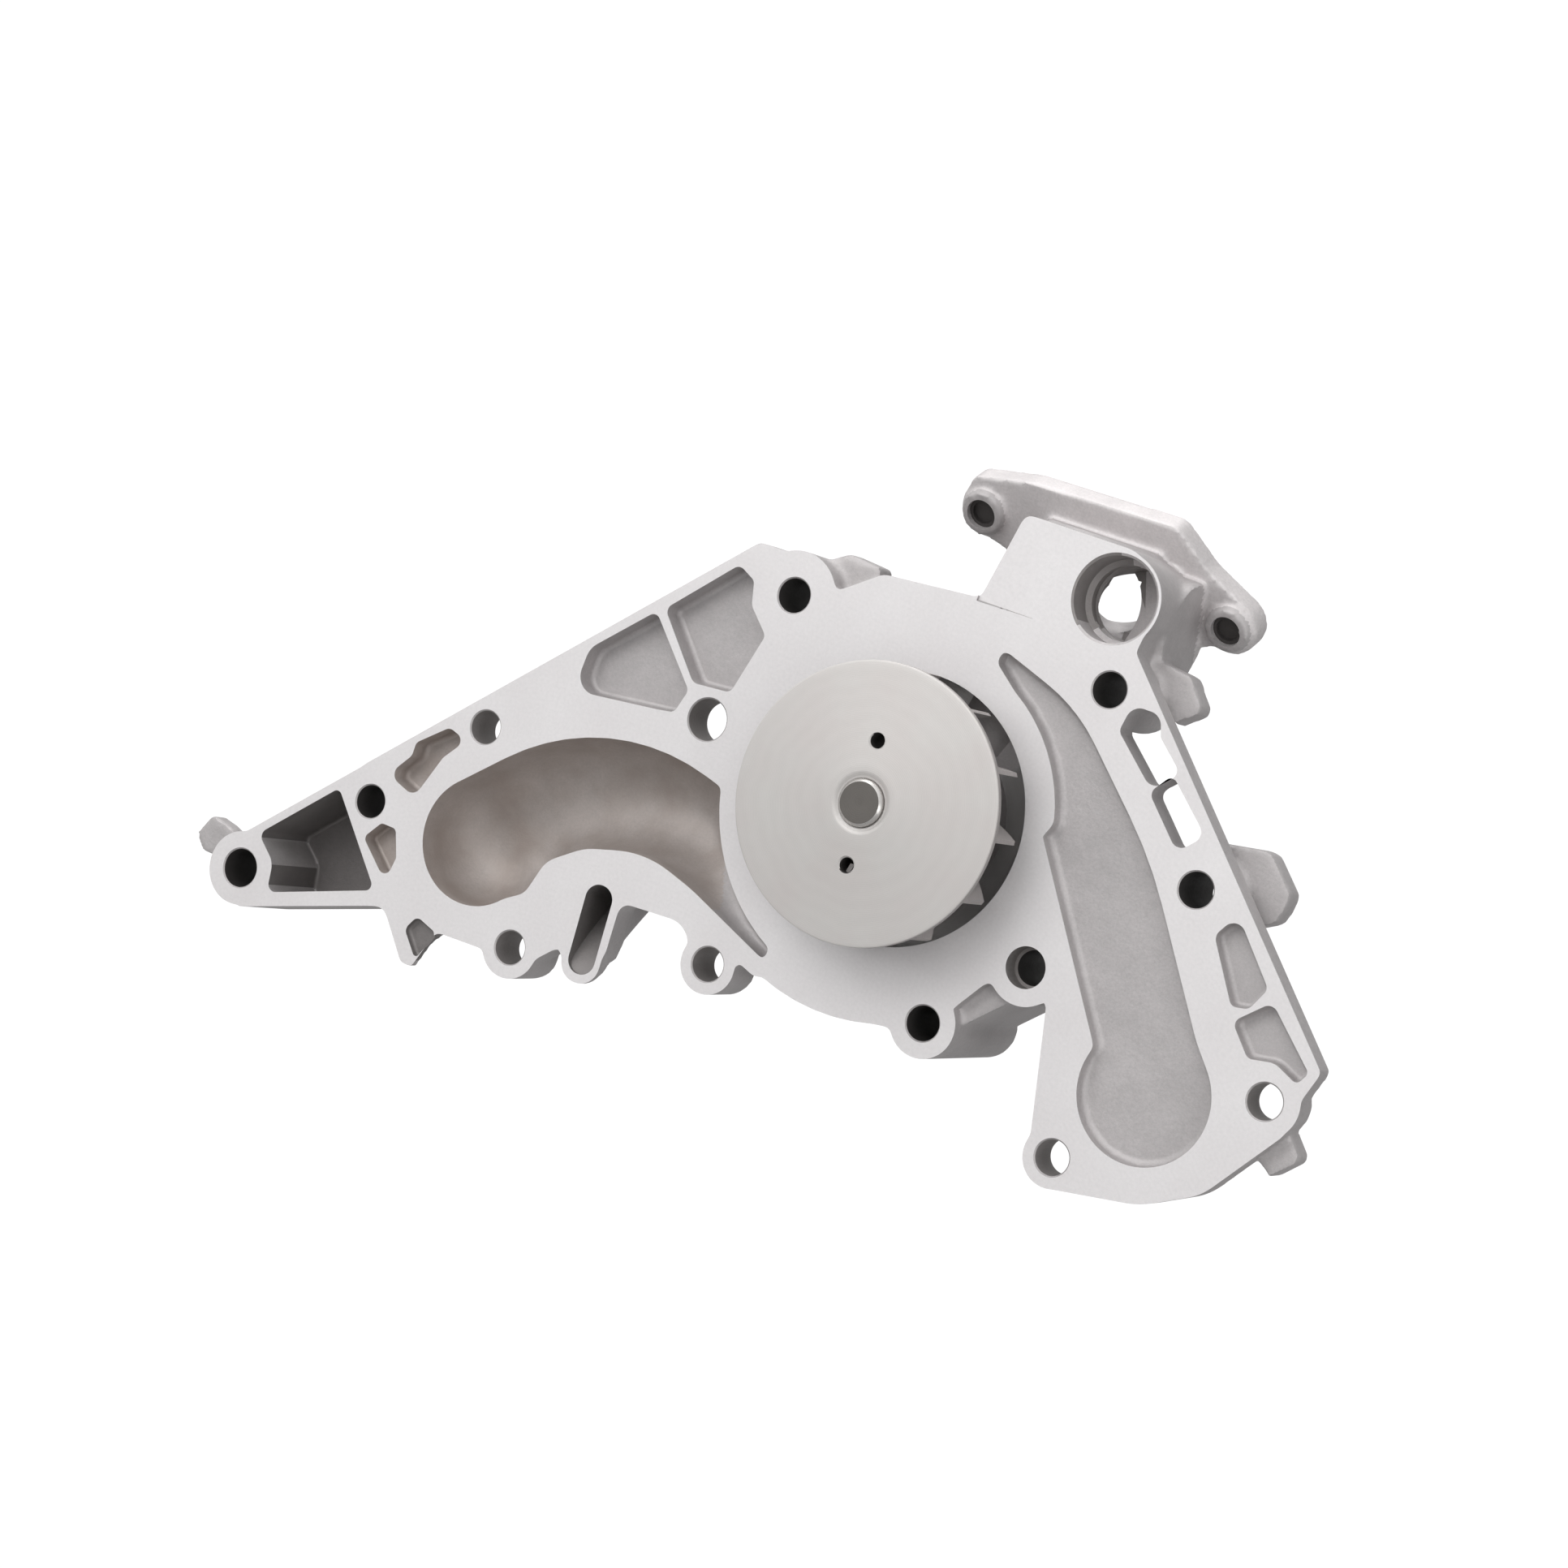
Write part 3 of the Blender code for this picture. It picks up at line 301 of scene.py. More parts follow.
def corner_points(before, corner, after, radius):
    """The points that round a corner between its two neighbours."""
    corner = Vector(corner)
    to_before = (Vector(before) - corner).normalized()
    to_after = (Vector(after) - corner).normalized()
    half = math.acos(max(-1.0, min(1.0, to_before.dot(to_after)))) / 2
    if radius == 0 or half > math.radians(89.5):
        return [tuple(corner)]
    middle = corner + (to_before + to_after).normalized() * radius / math.sin(half)
    start = corner + to_before * radius / math.tan(half) - middle
    turn = math.pi - 2 * half
    side = 1 if to_before.cross(to_after) < 0 else -1
    count = max(1, math.ceil(math.degrees(turn) / ARC_STEP))
    first = math.atan2(start.y, start.x)
    angles = (first + side * turn * i / count for i in range(count + 1))
    return [(middle.x + radius * math.cos(a), middle.y + radius * math.sin(a)) for a in angles]


def rounded(outline):
    """The points of a closed outline of rounded corners and arcs."""
    runs = [arc_points(*item) if len(item) == 5 else [item[:2]] for item in outline]
    points = []
    for i, item in enumerate(outline):
        if len(item) == 5:
            points += runs[i]
        else:
            after = runs[(i + 1) % len(runs)][0]
            points += corner_points(runs[i - 1][-1], item[:2], after, item[2])
    return points


def new_object(name, mesh):
    obj = bpy.data.objects.new(name, mesh)
    bpy.context.scene.collection.objects.link(obj)
    return obj


def from_bmesh(name, shape):
    bmesh.ops.recalc_face_normals(shape, faces=shape.faces)
    mesh = bpy.data.meshes.new(name)
    shape.to_mesh(mesh)
    shape.free()
    return new_object(name, mesh)


def loft(name, rings):
    """A closed body through rings of points, all with the same number of points."""
    shape = bmesh.new()
    made = [[shape.verts.new(Vector(p) * MM) for p in ring] for ring in rings]
    for low, high in zip(made, made[1:]):
        for i in range(len(low)):
            j = (i + 1) % len(low)
            shape.faces.new((low[i], low[j], high[j], high[i]))
    shape.faces.new(made[0][::-1])
    shape.faces.new(made[-1])
    return from_bmesh(name, shape)


def inset(points, amount):
    """An outline moved inwards by a small amount, for a rounded or drafted edge."""
    count = len(points)
    area = sum(
        points[i][0] * points[(i + 1) % count][1] - points[(i + 1) % count][0] * points[i][1]
        for i in range(count)
    )
    side = 1 if area > 0 else -1
    moved = []
    for i in range(count):
        before, here, after = (Vector(points[(i + k) % count]) for k in (-1, 0, 1))
        first, second = (here - before).normalized(), (after - here).normalized()
        normal = Vector((-(first.y + second.y), first.x + second.x)) * side
        if normal.length < 1e-6:
            moved.append(tuple(here))
            continue
        normal.normalize()
        lean = max(0.5, normal.dot(Vector((-first.y, first.x)) * side))
        moved.append(tuple(here + normal * amount / lean))
    return moved


def prism(name, outline, y0, y1, edge=0.0, draft=0.0):
    """An outline extruded from y0 to y1, with a rounded edge and some draft at y1."""
    points = rounded(outline)
    levels = [(y0, -draft)]
    if edge:
        for degrees in (0, 30, 60, 90):
            a = math.radians(degrees)
            levels.append((y1 - edge * (1 - math.sin(a)), edge * (1 - math.cos(a))))
    else:
        levels.append((y1, 0.0))
    rings = [[(x, y, z) for x, z in (inset(points, d) if d else points)] for y, d in levels]
    return loft(name, rings)


def cone(name, start, end, radius, end_radius=None, segments=64):
    """A cylinder or cone between two points."""
    start, end = Vector(start), Vector(end)
    turn = (end - start).to_track_quat("Z", "Y")
    last = radius if end_radius is None else end_radius
    rings = []
    for centre, r in ((start, radius), (end, last)):
        ring = []
        for i in range(segments):
            a = 2 * math.pi * i / segments
            ring.append(centre + turn @ Vector((r * math.cos(a), r * math.sin(a), 0)))
        rings.append(ring)
    return loft(name, rings)


def along_y(name, x, z, y0, y1, radius, end_radius=None, segments=64):
    return cone(name, (x, y0, z), (x, y1, z), radius, end_radius, segments)


def turned(name, profile, steps=128, centre=(0, 0)):
    """A closed body turned about a line along Y, from a closed profile of (radius, y)."""
    shape = bmesh.new()
    rings = []
    for i in range(steps):
        a = 2 * math.pi * i / steps
        x, z = math.cos(a), math.sin(a)
        places = [((centre[0] + r * x) * MM, y * MM, (centre[1] + r * z) * MM) for r, y in profile]
        rings.append([shape.verts.new(place) for place in places])
    for i in range(steps):
        low, high = rings[i], rings[(i + 1) % steps]
        for j in range(len(profile)):
            k = (j + 1) % len(profile)
            if profile[j][0] > 0 or profile[k][0] > 0:
                shape.faces.new((low[j], low[k], high[k], high[j]))
    bmesh.ops.remove_doubles(shape, verts=shape.verts, dist=1e-7)
    return from_bmesh(name, shape)


def softened(profile, radius):
    """A turned profile with each sharp corner cut into a small round."""
    out = []
    count = len(profile)
    for i in range(count):
        before, here, after = (Vector(profile[(i + k) % count]) for k in (-1, 0, 1))
        a, b = before - here, after - here
        reach = min(radius, a.length * 0.4, b.length * 0.4)
        if here.x <= 1e-6 or a.length < 1e-6 or b.length < 1e-6 or a.angle(b) > math.radians(155):
            out.append(tuple(here))
            continue
        first, last = here + a.normalized() * reach, here + b.normalized() * reach
        middle = (first + last) / 4 + here / 2
        out += [tuple(first), tuple(middle), tuple(last)]
    return out


def bake_modifiers(obj):
    graph = bpy.context.evaluated_depsgraph_get()
    mesh = bpy.data.meshes.new_from_object(obj.evaluated_get(graph))
    old = obj.data
    obj.modifiers.clear()
    obj.data = mesh
    bpy.data.meshes.remove(old)


def remesh(obj, size):
    modifier = obj.modifiers.new("remesh", "REMESH")
    modifier.mode = "VOXEL"
    modifier.voxel_size = size * MM
    modifier.use_smooth_shade = True
    bake_modifiers(obj)


def relax(obj, times):
    modifier = obj.modifiers.new("relax", "SMOOTH")
    modifier.factor = 0.5
    modifier.iterations = times
    bake_modifiers(obj)


def joined(name, pieces):
    """One object from several, their meshes side by side."""
    shape = bmesh.new()
    for piece in pieces:
        shape.from_mesh(piece.data)
        bpy.data.objects.remove(piece)
    mesh = bpy.data.meshes.new(name)
    shape.to_mesh(mesh)
    shape.free()
    return new_object(name, mesh)


def combine(obj, tool, operation="DIFFERENCE"):
    modifier = obj.modifiers.new("cut", "BOOLEAN")
    modifier.operation = operation
    modifier.object = tool
    modifier.solver = "MANIFOLD"
    bake_modifiers(obj)
    bpy.data.objects.remove(tool)


def coordinates(mesh):
    co = np.empty(len(mesh.vertices) * 3)
    mesh.vertices.foreach_get("co", co)
    return co.reshape(-1, 3) / MM


def set_coordinates(mesh, co):
    mesh.vertices.foreach_set("co", (co * MM).ravel())
    mesh.update()


def outline_distance(points, x, z):
    """How far each place is from a closed outline."""
    best = np.full(len(x), 1e9)
    for (ax, az), (bx, bz) in zip(points, points[1:] + points[:1]):
        dx, dz = bx - ax, bz - az
        length = dx * dx + dz * dz
        if length < 1e-9:
            continue
        t = np.clip(((x - ax) * dx + (z - az) * dz) / length, 0, 1)
        best = np.minimum(best, np.hypot(x - ax - t * dx, z - az - t * dz))
    return best


def bowl(name, outline, depth, fillet, slope, size=0.8):
    """A pocket's inside with a rounded bottom. slope gives the share of its depth at each x."""
    tool = prism(name, outline, STOCK_Y - 2, depth)
    remesh(tool, size)
    co = coordinates(tool.data)
    distance = outline_distance(rounded(outline), co[:, 0], co[:, 2])
    near = fillet - np.minimum(distance, fillet)
    floor = (depth - fillet + np.sqrt(fillet**2 - near**2)) * slope(co[:, 0])
    co[:, 1] = np.where(co[:, 1] > 0, co[:, 1] * floor / depth, co[:, 1])
    set_coordinates(tool.data, co)
    remesh(tool, size)
    relax(tool, 3)
    return tool


# ---------------------------------------------------------------- housing


def on_flange(across, up, out):
    """A point of the thermostat flange, in millimetres."""
    return FLANGE_AT + Matrix.Rotation(FLANGE_TILT, 3, "X") @ Vector((across, out, up))


def flange_outline():
    (left_x, left_z), (right_x, right_z) = EARS
    return [
        (-38.5, 15.0, 3), (-22.0, 18.2, 10), (18.5, 19.0, 4), (28.0, 10.2, 5),
        (right_x, right_z, EAR_R, 62, -115), (26.0, -12.5, 8), (0.0, 0.0, 19.6, -50, -130),
        (-25.0, -3.5, 8), (left_x, left_z, EAR_R, -80, -200),
    ]


def to_flange(obj):
    place = Matrix.Translation(FLANGE_AT * MM) @ Matrix.Rotation(FLANGE_TILT, 4, "X")
    obj.data.transform(place)
    return obj


def wedge(name, x0, x1, profile):
    """A body extruded along X from a closed profile of (y, z)."""
    return loft(name, [[(x, y, z) for y, z in profile] for x in (x0, x1)])


def slot_floor(rise):
    """The sloping back of the slot's ear, or with a rise the sloping bottom of its slot."""
    steps = 16
    slope = [
        (2.6 + 17.9 * (i / steps) ** 1.4 - rise, -70.0 + 21.5 * i / steps)
        for i in range(steps + 1)
    ]
    return [(2.6 - rise, -80), *slope, (40, -48.5), (40, -80)]


def raw_casting():
    """Everything that the casting is joined from, with its edges softened as sand leaves them."""
    plate = prism("face_plate", FACE, STOCK_Y, PLATE_Y)
    thin = [(2.8, -90), (2.8, -78.0), (5.0, -74.5), (12, -72.0), (12, -90)]
    combine(plate, wedge("spike_back", -126, -107, thin))
    solids = [plate]
    raised = (
        (LEFT_SHELL, LEFT_DEPTH + 4.3, 7), (RIGHT_SHELL, RIGHT_DEPTH + 7.2, 2), (ARM, 25.7, 1.5),
        (SLOT_EAR, 19.3, 1), (NECK, 24.1, 2),
    )
    for i, (outline, y1, edge) in enumerate(raised):
        solid = prism(f"raised_{i}", outline, STOCK_Y, y1, edge)
        if outline is SLOT_EAR:
            combine(solid, wedge("slot_ear_back", -82, -58, slot_floor(0)))
        solids.append(solid)
    solids.append(along_y("hub", 0, 0, STOCK_Y, HUB_Y, HUB_R, HUB_R - 1))
    solids.append(along_y("hub_cone", 0, 0, HUB_Y - 2, HUB_Y + 8, HUB_R - 4, TOWER_R - 0.4))
    solids.append(along_y("tower", 0, 0, HUB_Y - 4, BEARING_Y1 + 1.5, TOWER_R))
    for name, (x, z, radius, length, _) in BOSSES.items():
        solids.append(along_y(f"boss_{name}", x, z, STOCK_Y, length + 0.6, radius, radius - 0.4))
    solids.append(prism("bottom_web", BOTTOM_WEB, 4, 40))
    for name, (y0, y1, outline) in LUGS.items():
        solids.append(prism(f"lug_{name}", outline, y0, y1))
    for i, (x0, z0, x1, z1, y0, y1) in enumerate(RIBS):
        along = Vector((x1 - x0, z1 - z0)).normalized() * RIB_T / 2
        side = Vector((-along.y, along.x))
        corners = [
            (x0 + side.x, z0 + side.y, 0), (x1 + side.x, z1 + side.y, 0),
            (x1 - side.x, z1 - side.y, 0), (x0 - side.x, z0 - side.y, 0),
        ]
        solids.append(prism(f"rib_{i}", corners, y0, y1))
    solids.append(along_y("bypass_boss", *BYPASS, STOCK_Y, 24.6, 12.0))
    solids.append(to_flange(prism("flange", flange_outline(), 0, FLANGE_T + 0.8)))
    for i, (across, up) in enumerate(EARS):
        inner, outer = on_flange(across, up, -2.6), on_flange(across, up, 2)
        solids.append(cone(f"ear_{i}", inner, outer, EAR_R - 1.6, EAR_R - 0.6))
    inner, outer = on_flange(0, 0, -16), on_flange(0, 0, 1)
    body = cone("thermostat_body", inner, outer, THERMOSTAT_BODY_R)
    step_y, step_z = on_flange(0, 10, 0)[1:]
    top = [(step_y, step_z), (step_y, 105), (-20, 105), (-20, step_z)]
    combine(body, wedge("body_top", -20, 60, top))
    solids.append(body)
    solids.append(cone("gallery", *GALLERY, GALLERY_R))
    solids.append(cone("suction_duct", SUCTION_TOP, (6, 19, 20), SUCTION_R))
    casting = joined("pump_housing_casting", solids)
    remesh(casting, 0.8)
    relax(casting, 5)
    return casting


def level(x):
    return np.ones_like(x)


def left_slope(x):
    """The left volute is deep in its bulb and runs out towards its narrow end."""
    run = np.clip((x + 58.0) / 34.0, 0, 1)
    return 1 - 0.68 * run * run * (3 - 2 * run)


def cast_pockets():
    """The hollows that the sand cores leave, drafted and with rounded bottoms."""
    tools = []
    for name, (depth, outline) in POCKETS.items():
        if name in THROUGH:
            tools.append(prism(f"pocket_{name}", outline, STOCK_Y - 2, BEARING_Y1, draft=0.3))
            continue
        edge = SHARP_EDGE if name in SHARP_POCKETS else SOFT_EDGE
        depth = min(depth, SPIKE_DEPTH) if name == "spike" else depth
        tool = prism(f"pocket_{name}", outline, STOCK_Y - 2, depth, edge, 0.3)
        if name == "slot":
            combine(tool, wedge("slot_bottom", -82, -58, slot_floor(1.9)))
        tools.append(tool)
    return joined("cast_pockets", tools)


def neck_step():
    """The wedge by which the neck's face lies below the gasket face, fading out to the right."""
    low_x, high_x, low_z, high_z = 2.2, 30.0, 54.9, 85.0
    rings = []
    for left_y, right_y in ((STOCK_Y - 2, STOCK_Y - 2), (0.8, -0.02)):
        rings.append([
            (low_x, left_y, low_z), (high_x, right_y, low_z + 0.5), (high_x, right_y, high_z),
            (low_x, left_y, high_z),
        ])
    step = loft("neck_step", rings)
    line = []
    for y, grow in ((0.4, 0.0), (-3.0, 0.5)):
        line.append([(2.6, y, 54.9 - grow), (24.0, y * 0.1 - 0.2, 55.3), (2.6, y, 55.2 + grow)])
    return joined("neck_cuts", [step, loft("neck_line", line)])


def spot_faces():
    """What milling takes off the pulley side of the bosses."""
    tools = []
    for name, (x, z, radius, length, _) in BOSSES.items():
        tools.append(along_y(f"spot_{name}", x, z, length, length + 3, radius + 0.3))
    return joined("spot_faces", tools)


def bolt_holes():
    tools = []
    for name, (x, z, _, length, radius) in BOSSES.items():
        mouth = radius + 0.35
        profile = [
            (0, length + 6), (mouth, length + 6), (mouth, length), (radius, length - 0.35),
            (radius, 0.35), (mouth, 0), (mouth, STOCK_Y - 3), (0, STOCK_Y - 3),
        ]
        tools.append(turned(f"hole_{name}", profile, 48, (x, z)))
    return joined("bolt_holes", tools)


def flange_holes():
    """The thermostat's seat, the way behind it and the blind, threaded holes of the ears."""
    out = FLANGE_T + 12
    bottom = on_flange(0, 0, FLANGE_T - 4.2)
    seat = cone("seat", bottom, on_flange(0, 0, out), THERMOSTAT_R, segments=96)
    way = cone("way", on_flange(5, -3.2, -11), on_flange(5, -3.2, out), 10.2)
    holes = []
    for i, (across, up) in enumerate(EARS):
        back, front = on_flange(across, up, -9), on_flange(across, up, out)
        counterbore = on_flange(across, up, -1.2)
        holes.append(cone(f"ear_seat_{i}", back, counterbore, EAR_HOLE_R + 0.9, EAR_HOLE_R + 0.5))
        middle = on_flange(across, up, 0.2)
        holes.append(cone(f"ear_hole_{i}", middle, front, EAR_HOLE_R - 0.6))
        holes.append(cone(f"ear_deep_{i}", back, on_flange(across, up, -0.2), EAR_HOLE_R - 0.4))
    return [seat, way, *holes]


def coolant_spaces():
    """The volutes, the suction chamber and the two ways that lead to it."""
    return [
        bowl("left_volute", LEFT_POCKET, LEFT_DEPTH, LEFT_FILLET, left_slope),
        bowl("right_volute", RIGHT_POCKET, RIGHT_DEPTH, RIGHT_FILLET, level),
        along_y("suction_chamber", 0, 0, -8, CHAMBER_Y, CHAMBER_R, segments=128),
        cone("suction_way", SUCTION_TOP, (6, 16, 22), SUCTION_BORE_R),
        cone("gallery_bore", (10, 24, 63), (33, 24, 63), GALLERY_BORE_R),
    ]


def bypass_bore():
    """The bypass bore, with its wider mouth and the groove of its sealing ring."""
    profile = [
        (0, 22.0), (BYPASS_R, 22.0), (BYPASS_R, 14.6), (BYPASS_R + 0.7, 14.0),
        (BYPASS_R + 0.7, 11.6), (BYPASS_R, 11.0), (BYPASS_R, 9.6), (BYPASS_ENTRY_R, 8.6),
        (BYPASS_ENTRY_R, 0.6), (BYPASS_ENTRY_R + 0.6, 0), (BYPASS_ENTRY_R + 0.6, -8), (0, -8),
    ]
    return turned("bypass_bore", profile, 96, BYPASS)


def shaft_bore():
    """The bores of the seal, the drain chamber and the bearing."""
    profile = [
        (0, BEARING_Y1 + 6), (BEARING_R + GAP + 0.6, BEARING_Y1 + 6),
        (BEARING_R + GAP + 0.6, BEARING_Y1 + GAP), (BEARING_R + GAP, BEARING_Y1 - 0.3),
        (BEARING_R + GAP, BEARING_Y0 - GAP), (DRAIN_R, BEARING_Y0 - GAP), (DRAIN_R, SEAL_BORE_Y),
        (SEAL_BORE_R, SEAL_BORE_Y), (SEAL_BORE_R, SEAL_TUBE_Y - 4), (0, SEAL_TUBE_Y - 4),
    ]
    return turned("shaft_bore", profile, 128)


def make_housing():
    casting = raw_casting()
    for tool in (along_y("face_mill", -30, 0, -60, 0, 300), cast_pockets(), *coolant_spaces()):
        combine(casting, tool)
    seal_tube = along_y("seal_tube", 0, 0, SEAL_TUBE_Y, CHAMBER_Y + 2, SEAL_TUBE_R, segments=96)
    combine(casting, seal_tube, "UNION")
    front, out = on_flange(0, 0, FLANGE_T), on_flange(0, 0, FLANGE_T + 12)
    x, z = BOSSES["leg_inner"][:2]
    low, high = BEARING_Y1 + GAP, BEARING_Y1 + 9
    machining = (
        neck_step(),
        spot_faces(),
        bolt_holes(),
        cone("flange_mill", front, out, 60),
        *flange_holes(),
        along_y("dowel_counterbore", x, z, -8, 6, 5.2),
        bypass_bore(),
        shaft_bore(),
        turned("tower_end", [(0, high), (30, high), (30, low), (0, low)], 64),
        cone("weep_hole", (0, WEEP_Y, -8), (0, WEEP_Y, -46), WEEP_R, segments=32),
    )
    for tool in machining:
        combine(casting, tool)
    return casting


# Housing finishes: volute is partly stain and partly painted shade; deep, long_hole and short_hole
# are painted shade; rim is painted light.
FINISHES = ("cast", "face", "bore", "volute", "deep", "rim", "long_hole", "short_hole")


def sort_faces(obj):
    """Gives each face of the housing its finish, from where it lies and how it points. Holes and
    hollows get darker finishes as painted shade (in the left volute partly stain too), and the
    flange and part of the bypass bore a lighter one as painted light.
    """
    mesh = obj.data
    count = len(mesh.polygons)
    centre, normal = np.empty(count * 3), np.empty(count * 3)
    mesh.polygons.foreach_get("center", centre)
    mesh.polygons.foreach_get("normal", normal)
    centre, normal = centre.reshape(-1, 3) / MM, normal.reshape(-1, 3)
    x, y, z = centre.T
    kind = np.zeros(count, dtype=np.int32)

    def mark(where, name):
        kind[where] = FINISHES.index(name)

    def inside(outline):
        return point_in(rounded(outline), x, z)

    behind = (y > 0.02) & (y < LEFT_DEPTH + 1.0)
    # The left volute gets the volute finish, darker and warmer than the open casting: partly stain,
    # partly painted shade of the hollow.
    volute = behind & inside(LEFT_POCKET)
    mark(volute, "volute")
    mark(volute & (np.hypot(x, z) < LEFT_RING_R + 7.5), "cast")
    # In the arm pocket all faces but those facing up get the deep finish as painted shade; the
    # upward faces keep the casting's tone as if lit.
    mark(behind & inside(POCKETS["arm"][1]) & (normal[:, 2] < 0.4), "deep")
    # The two small left pockets get the volute finish and the spike pocket the deep one: darker as
    # painted shade of their hollows, the volute finish partly stain too.
    for name, finish in (("left_long", "volute"), ("left_small", "volute"), ("spike", "deep")):
        mark((y > 0.05) & (y < 6.5) & inside(POCKETS[name][1]), finish)
    flat = (normal[:, 1] < -0.985) & (y < 1.0) & (y > -0.05)
    mark(flat, "face")
    for bx, bz, radius, length, hole in BOSSES.values():
        reach = np.hypot(x - bx, z - bz)
        # The walls of the bolt holes get painted shade: near black in the long holes, mid grey in
        # the short ones.
        wall = (reach < hole + 0.2) & (y > 0.4) & (y < length + 0.5)
        mark(wall, "long_hole" if length > 20 else "short_hole")
        mark((reach < radius + 0.4) & (normal[:, 1] > 0.98) & (np.abs(y - length) < 0.05), "bore")
    # The dowel counterbore gets the same painted shade as a short hole.
    x0, z0 = BOSSES["leg_inner"][:2]
    mark((np.hypot(x - x0, z - z0) < 5.4) & (y > 0.3) & (y < 6.2), "short_hole")
    # The slot gets the deep finish, painted shade of its narrow hollow.
    mark(behind & inside(POCKETS["slot"][1]), "deep")
    # The bypass bore's walls get painted shade, and those facing up and left, and the front-facing
    # ones on its right half, get the lighter rim finish as painted light.
    reach = np.hypot(x - BYPASS[0], z - BYPASS[1])
    bypass = (reach < BYPASS_ENTRY_R + 0.7) & ~flat & (y < 24)
    mark(bypass, "short_hole")
    lit = (normal[:, 2] - 0.6 * normal[:, 0] > 0.3) | ((normal[:, 1] < -0.5) & (x > BYPASS[0] - 2))
    mark(bypass & lit, "rim")
    reach = np.hypot(x, z)
    mark((reach < BEARING_R + 1.2) & (y > SEAL_TUBE_Y), "bore")
    mark((reach < TOWER_R + 0.5) & (normal[:, 1] > 0.98) & (y > BEARING_Y1), "bore")
    out = np.array((0, math.cos(FLANGE_TILT), math.sin(FLANGE_TILT)))
    height = (centre - np.array(FLANGE_AT)) @ out
    across = centre - np.array(FLANGE_AT)
    reach = np.linalg.norm(across - np.outer(height, out), axis=1)
    outside = (reach > THERMOSTAT_R + 0.3) | (normal @ out < -0.3)
    # The flange's sides and back get the lighter rim finish: painted light, as if lit from above.
    mark((height > -1.0) & (height < FLANGE_T) & outside & (y > 12), "rim")
    mark((normal @ out > 0.99) & (np.abs(height - FLANGE_T) < 0.05), "face")
    # The walls of the ear holes get the near-black painted shade of a long hole.
    for across, up in EARS:
        hole = on_flange(across, up, 0)
        away = centre - np.array(hole)
        away -= np.outer(away @ out, out)
        near = (np.linalg.norm(away, axis=1) < EAR_HOLE_R + 0.2) & (np.abs(height) < 7)
        mark(near & (height < FLANGE_T - 0.1) & (height > -2.0), "long_hole")
    mesh.polygons.foreach_set("material_index", kind)
    mesh.update()


def point_in(points, x, z):
    """Whether each place lies inside a closed outline, or within a millimetre of it."""
    inside = np.zeros(len(x), dtype=bool)
    for (ax, az), (bx, bz) in zip(points, points[1:] + points[:1]):
        if az == bz:
            continue
        crosses = ((az > z) != (bz > z)) & (x < (bx - ax) * (z - az) / (bz - az) + ax)
        inside ^= crosses
    return inside | (outline_distance(points, x, z) < 1.0)


# ---------------------------------------------------------------- moving parts


def vane(index):
    """One curved vane, from the disc towards the pump's body, with a rounded free edge."""
    steps = 14
    sides = ([], [])
    for i in range(steps + 1):
        radius = VANE_RADII[0] + (VANE_RADII[-1] - VANE_RADII[0]) * i / steps
        turn = VANE_TURN + 360 * index / VANES + VANE_SWEEP * (VANE_RADII[-1] - radius)
        angle = math.radians(turn)
        point = Vector((math.cos(angle), math.sin(angle))) * radius
        across = Vector((-math.sin(angle), math.cos(angle))) * (VANE_HALF - 0.35)
        sides[0].append((*(point + across), 0))
        sides[1].insert(0, (*(point - across), 0))
    return prism(f"vane_{index}", sides[0] + sides[1], VANE_Y[0] + 0.5, VANE_Y[1], 0.4)


def make_impeller():
    bore_r = SHAFT_THIN_R + 0.05
    seat_r, seat_y = 14.8, -4.3
    profile = [
        (IMPELLER_HUB_R, IMPELLER_HUB_Y), (IMPELLER_HUB_R, -14.0), (17.6, -15.6), (19.2, -16.5),
        (IMPELLER_R - 0.3, -16.9), (IMPELLER_R, -17.2), (IMPELLER_R, IMPELLER_Y + 0.5),
        (IMPELLER_R - 0.12, IMPELLER_Y + 0.15), (IMPELLER_R - 0.5, IMPELLER_Y),
        (IMPELLER_R - 1.4, IMPELLER_Y - 0.02), (IMPELLER_R - 1.8, IMPELLER_Y - 0.12), (20.0, -20.2),
        (9.6, -21.0), (7.9, -21.08), (7.3, -21.0), (6.8, -20.7), (6.6, -20.6),
        (bore_r + 0.3, -20.6), (bore_r, -20.3), (bore_r, seat_y), (seat_r, seat_y),
        (seat_r, IMPELLER_HUB_Y - 0.4), (seat_r + 0.4, IMPELLER_HUB_Y),
    ]
    impeller = turned("impeller_body", profile, 192)
    holes = []
    for i, degrees in enumerate(PULLER_ANGLES):
        a = math.radians(degrees)
        hole = [
            (0, -12.0), (PULLER_HOLE_R, -12.0), (PULLER_HOLE_R, -20.2),
            (PULLER_HOLE_R + 0.35, -20.62), (PULLER_HOLE_R + 0.35, -24.0), (0, -24.0),
        ]
        centre = (PULLER_R * math.cos(a), PULLER_R * math.sin(a))
        holes.append(turned(f"puller_{i}", hole, 40, centre))
    combine(impeller, joined("puller_holes", holes))
    vanes = [vane(i) for i in range(VANES)]
    return joined("impeller_with_vanes", [impeller, *vanes])


def make_shaft():
    profile = [
        (0, SHAFT_Y1), (2.2, SHAFT_Y1), (SHAFT_R - 0.8, SHAFT_Y1), (SHAFT_R, SHAFT_Y1 - 0.8),
        (SHAFT_R, SHAFT_SHOULDER_Y + 0.5), (SHAFT_R - 0.5, SHAFT_SHOULDER_Y),
        (SHAFT_THIN_R, SHAFT_SHOULDER_Y), (SHAFT_THIN_R, SHAFT_Y0 + 0.9),
        (SHAFT_THIN_R - 0.12, SHAFT_Y0 + 0.65), (SHAFT_THIN_R - 0.62, SHAFT_Y0 + 0.1),
        (SHAFT_THIN_R - 0.75, SHAFT_Y0), (1.3, SHAFT_Y0), (0, SHAFT_Y0 + 0.5),
    ]
    return turned("shaft", profile, 96)


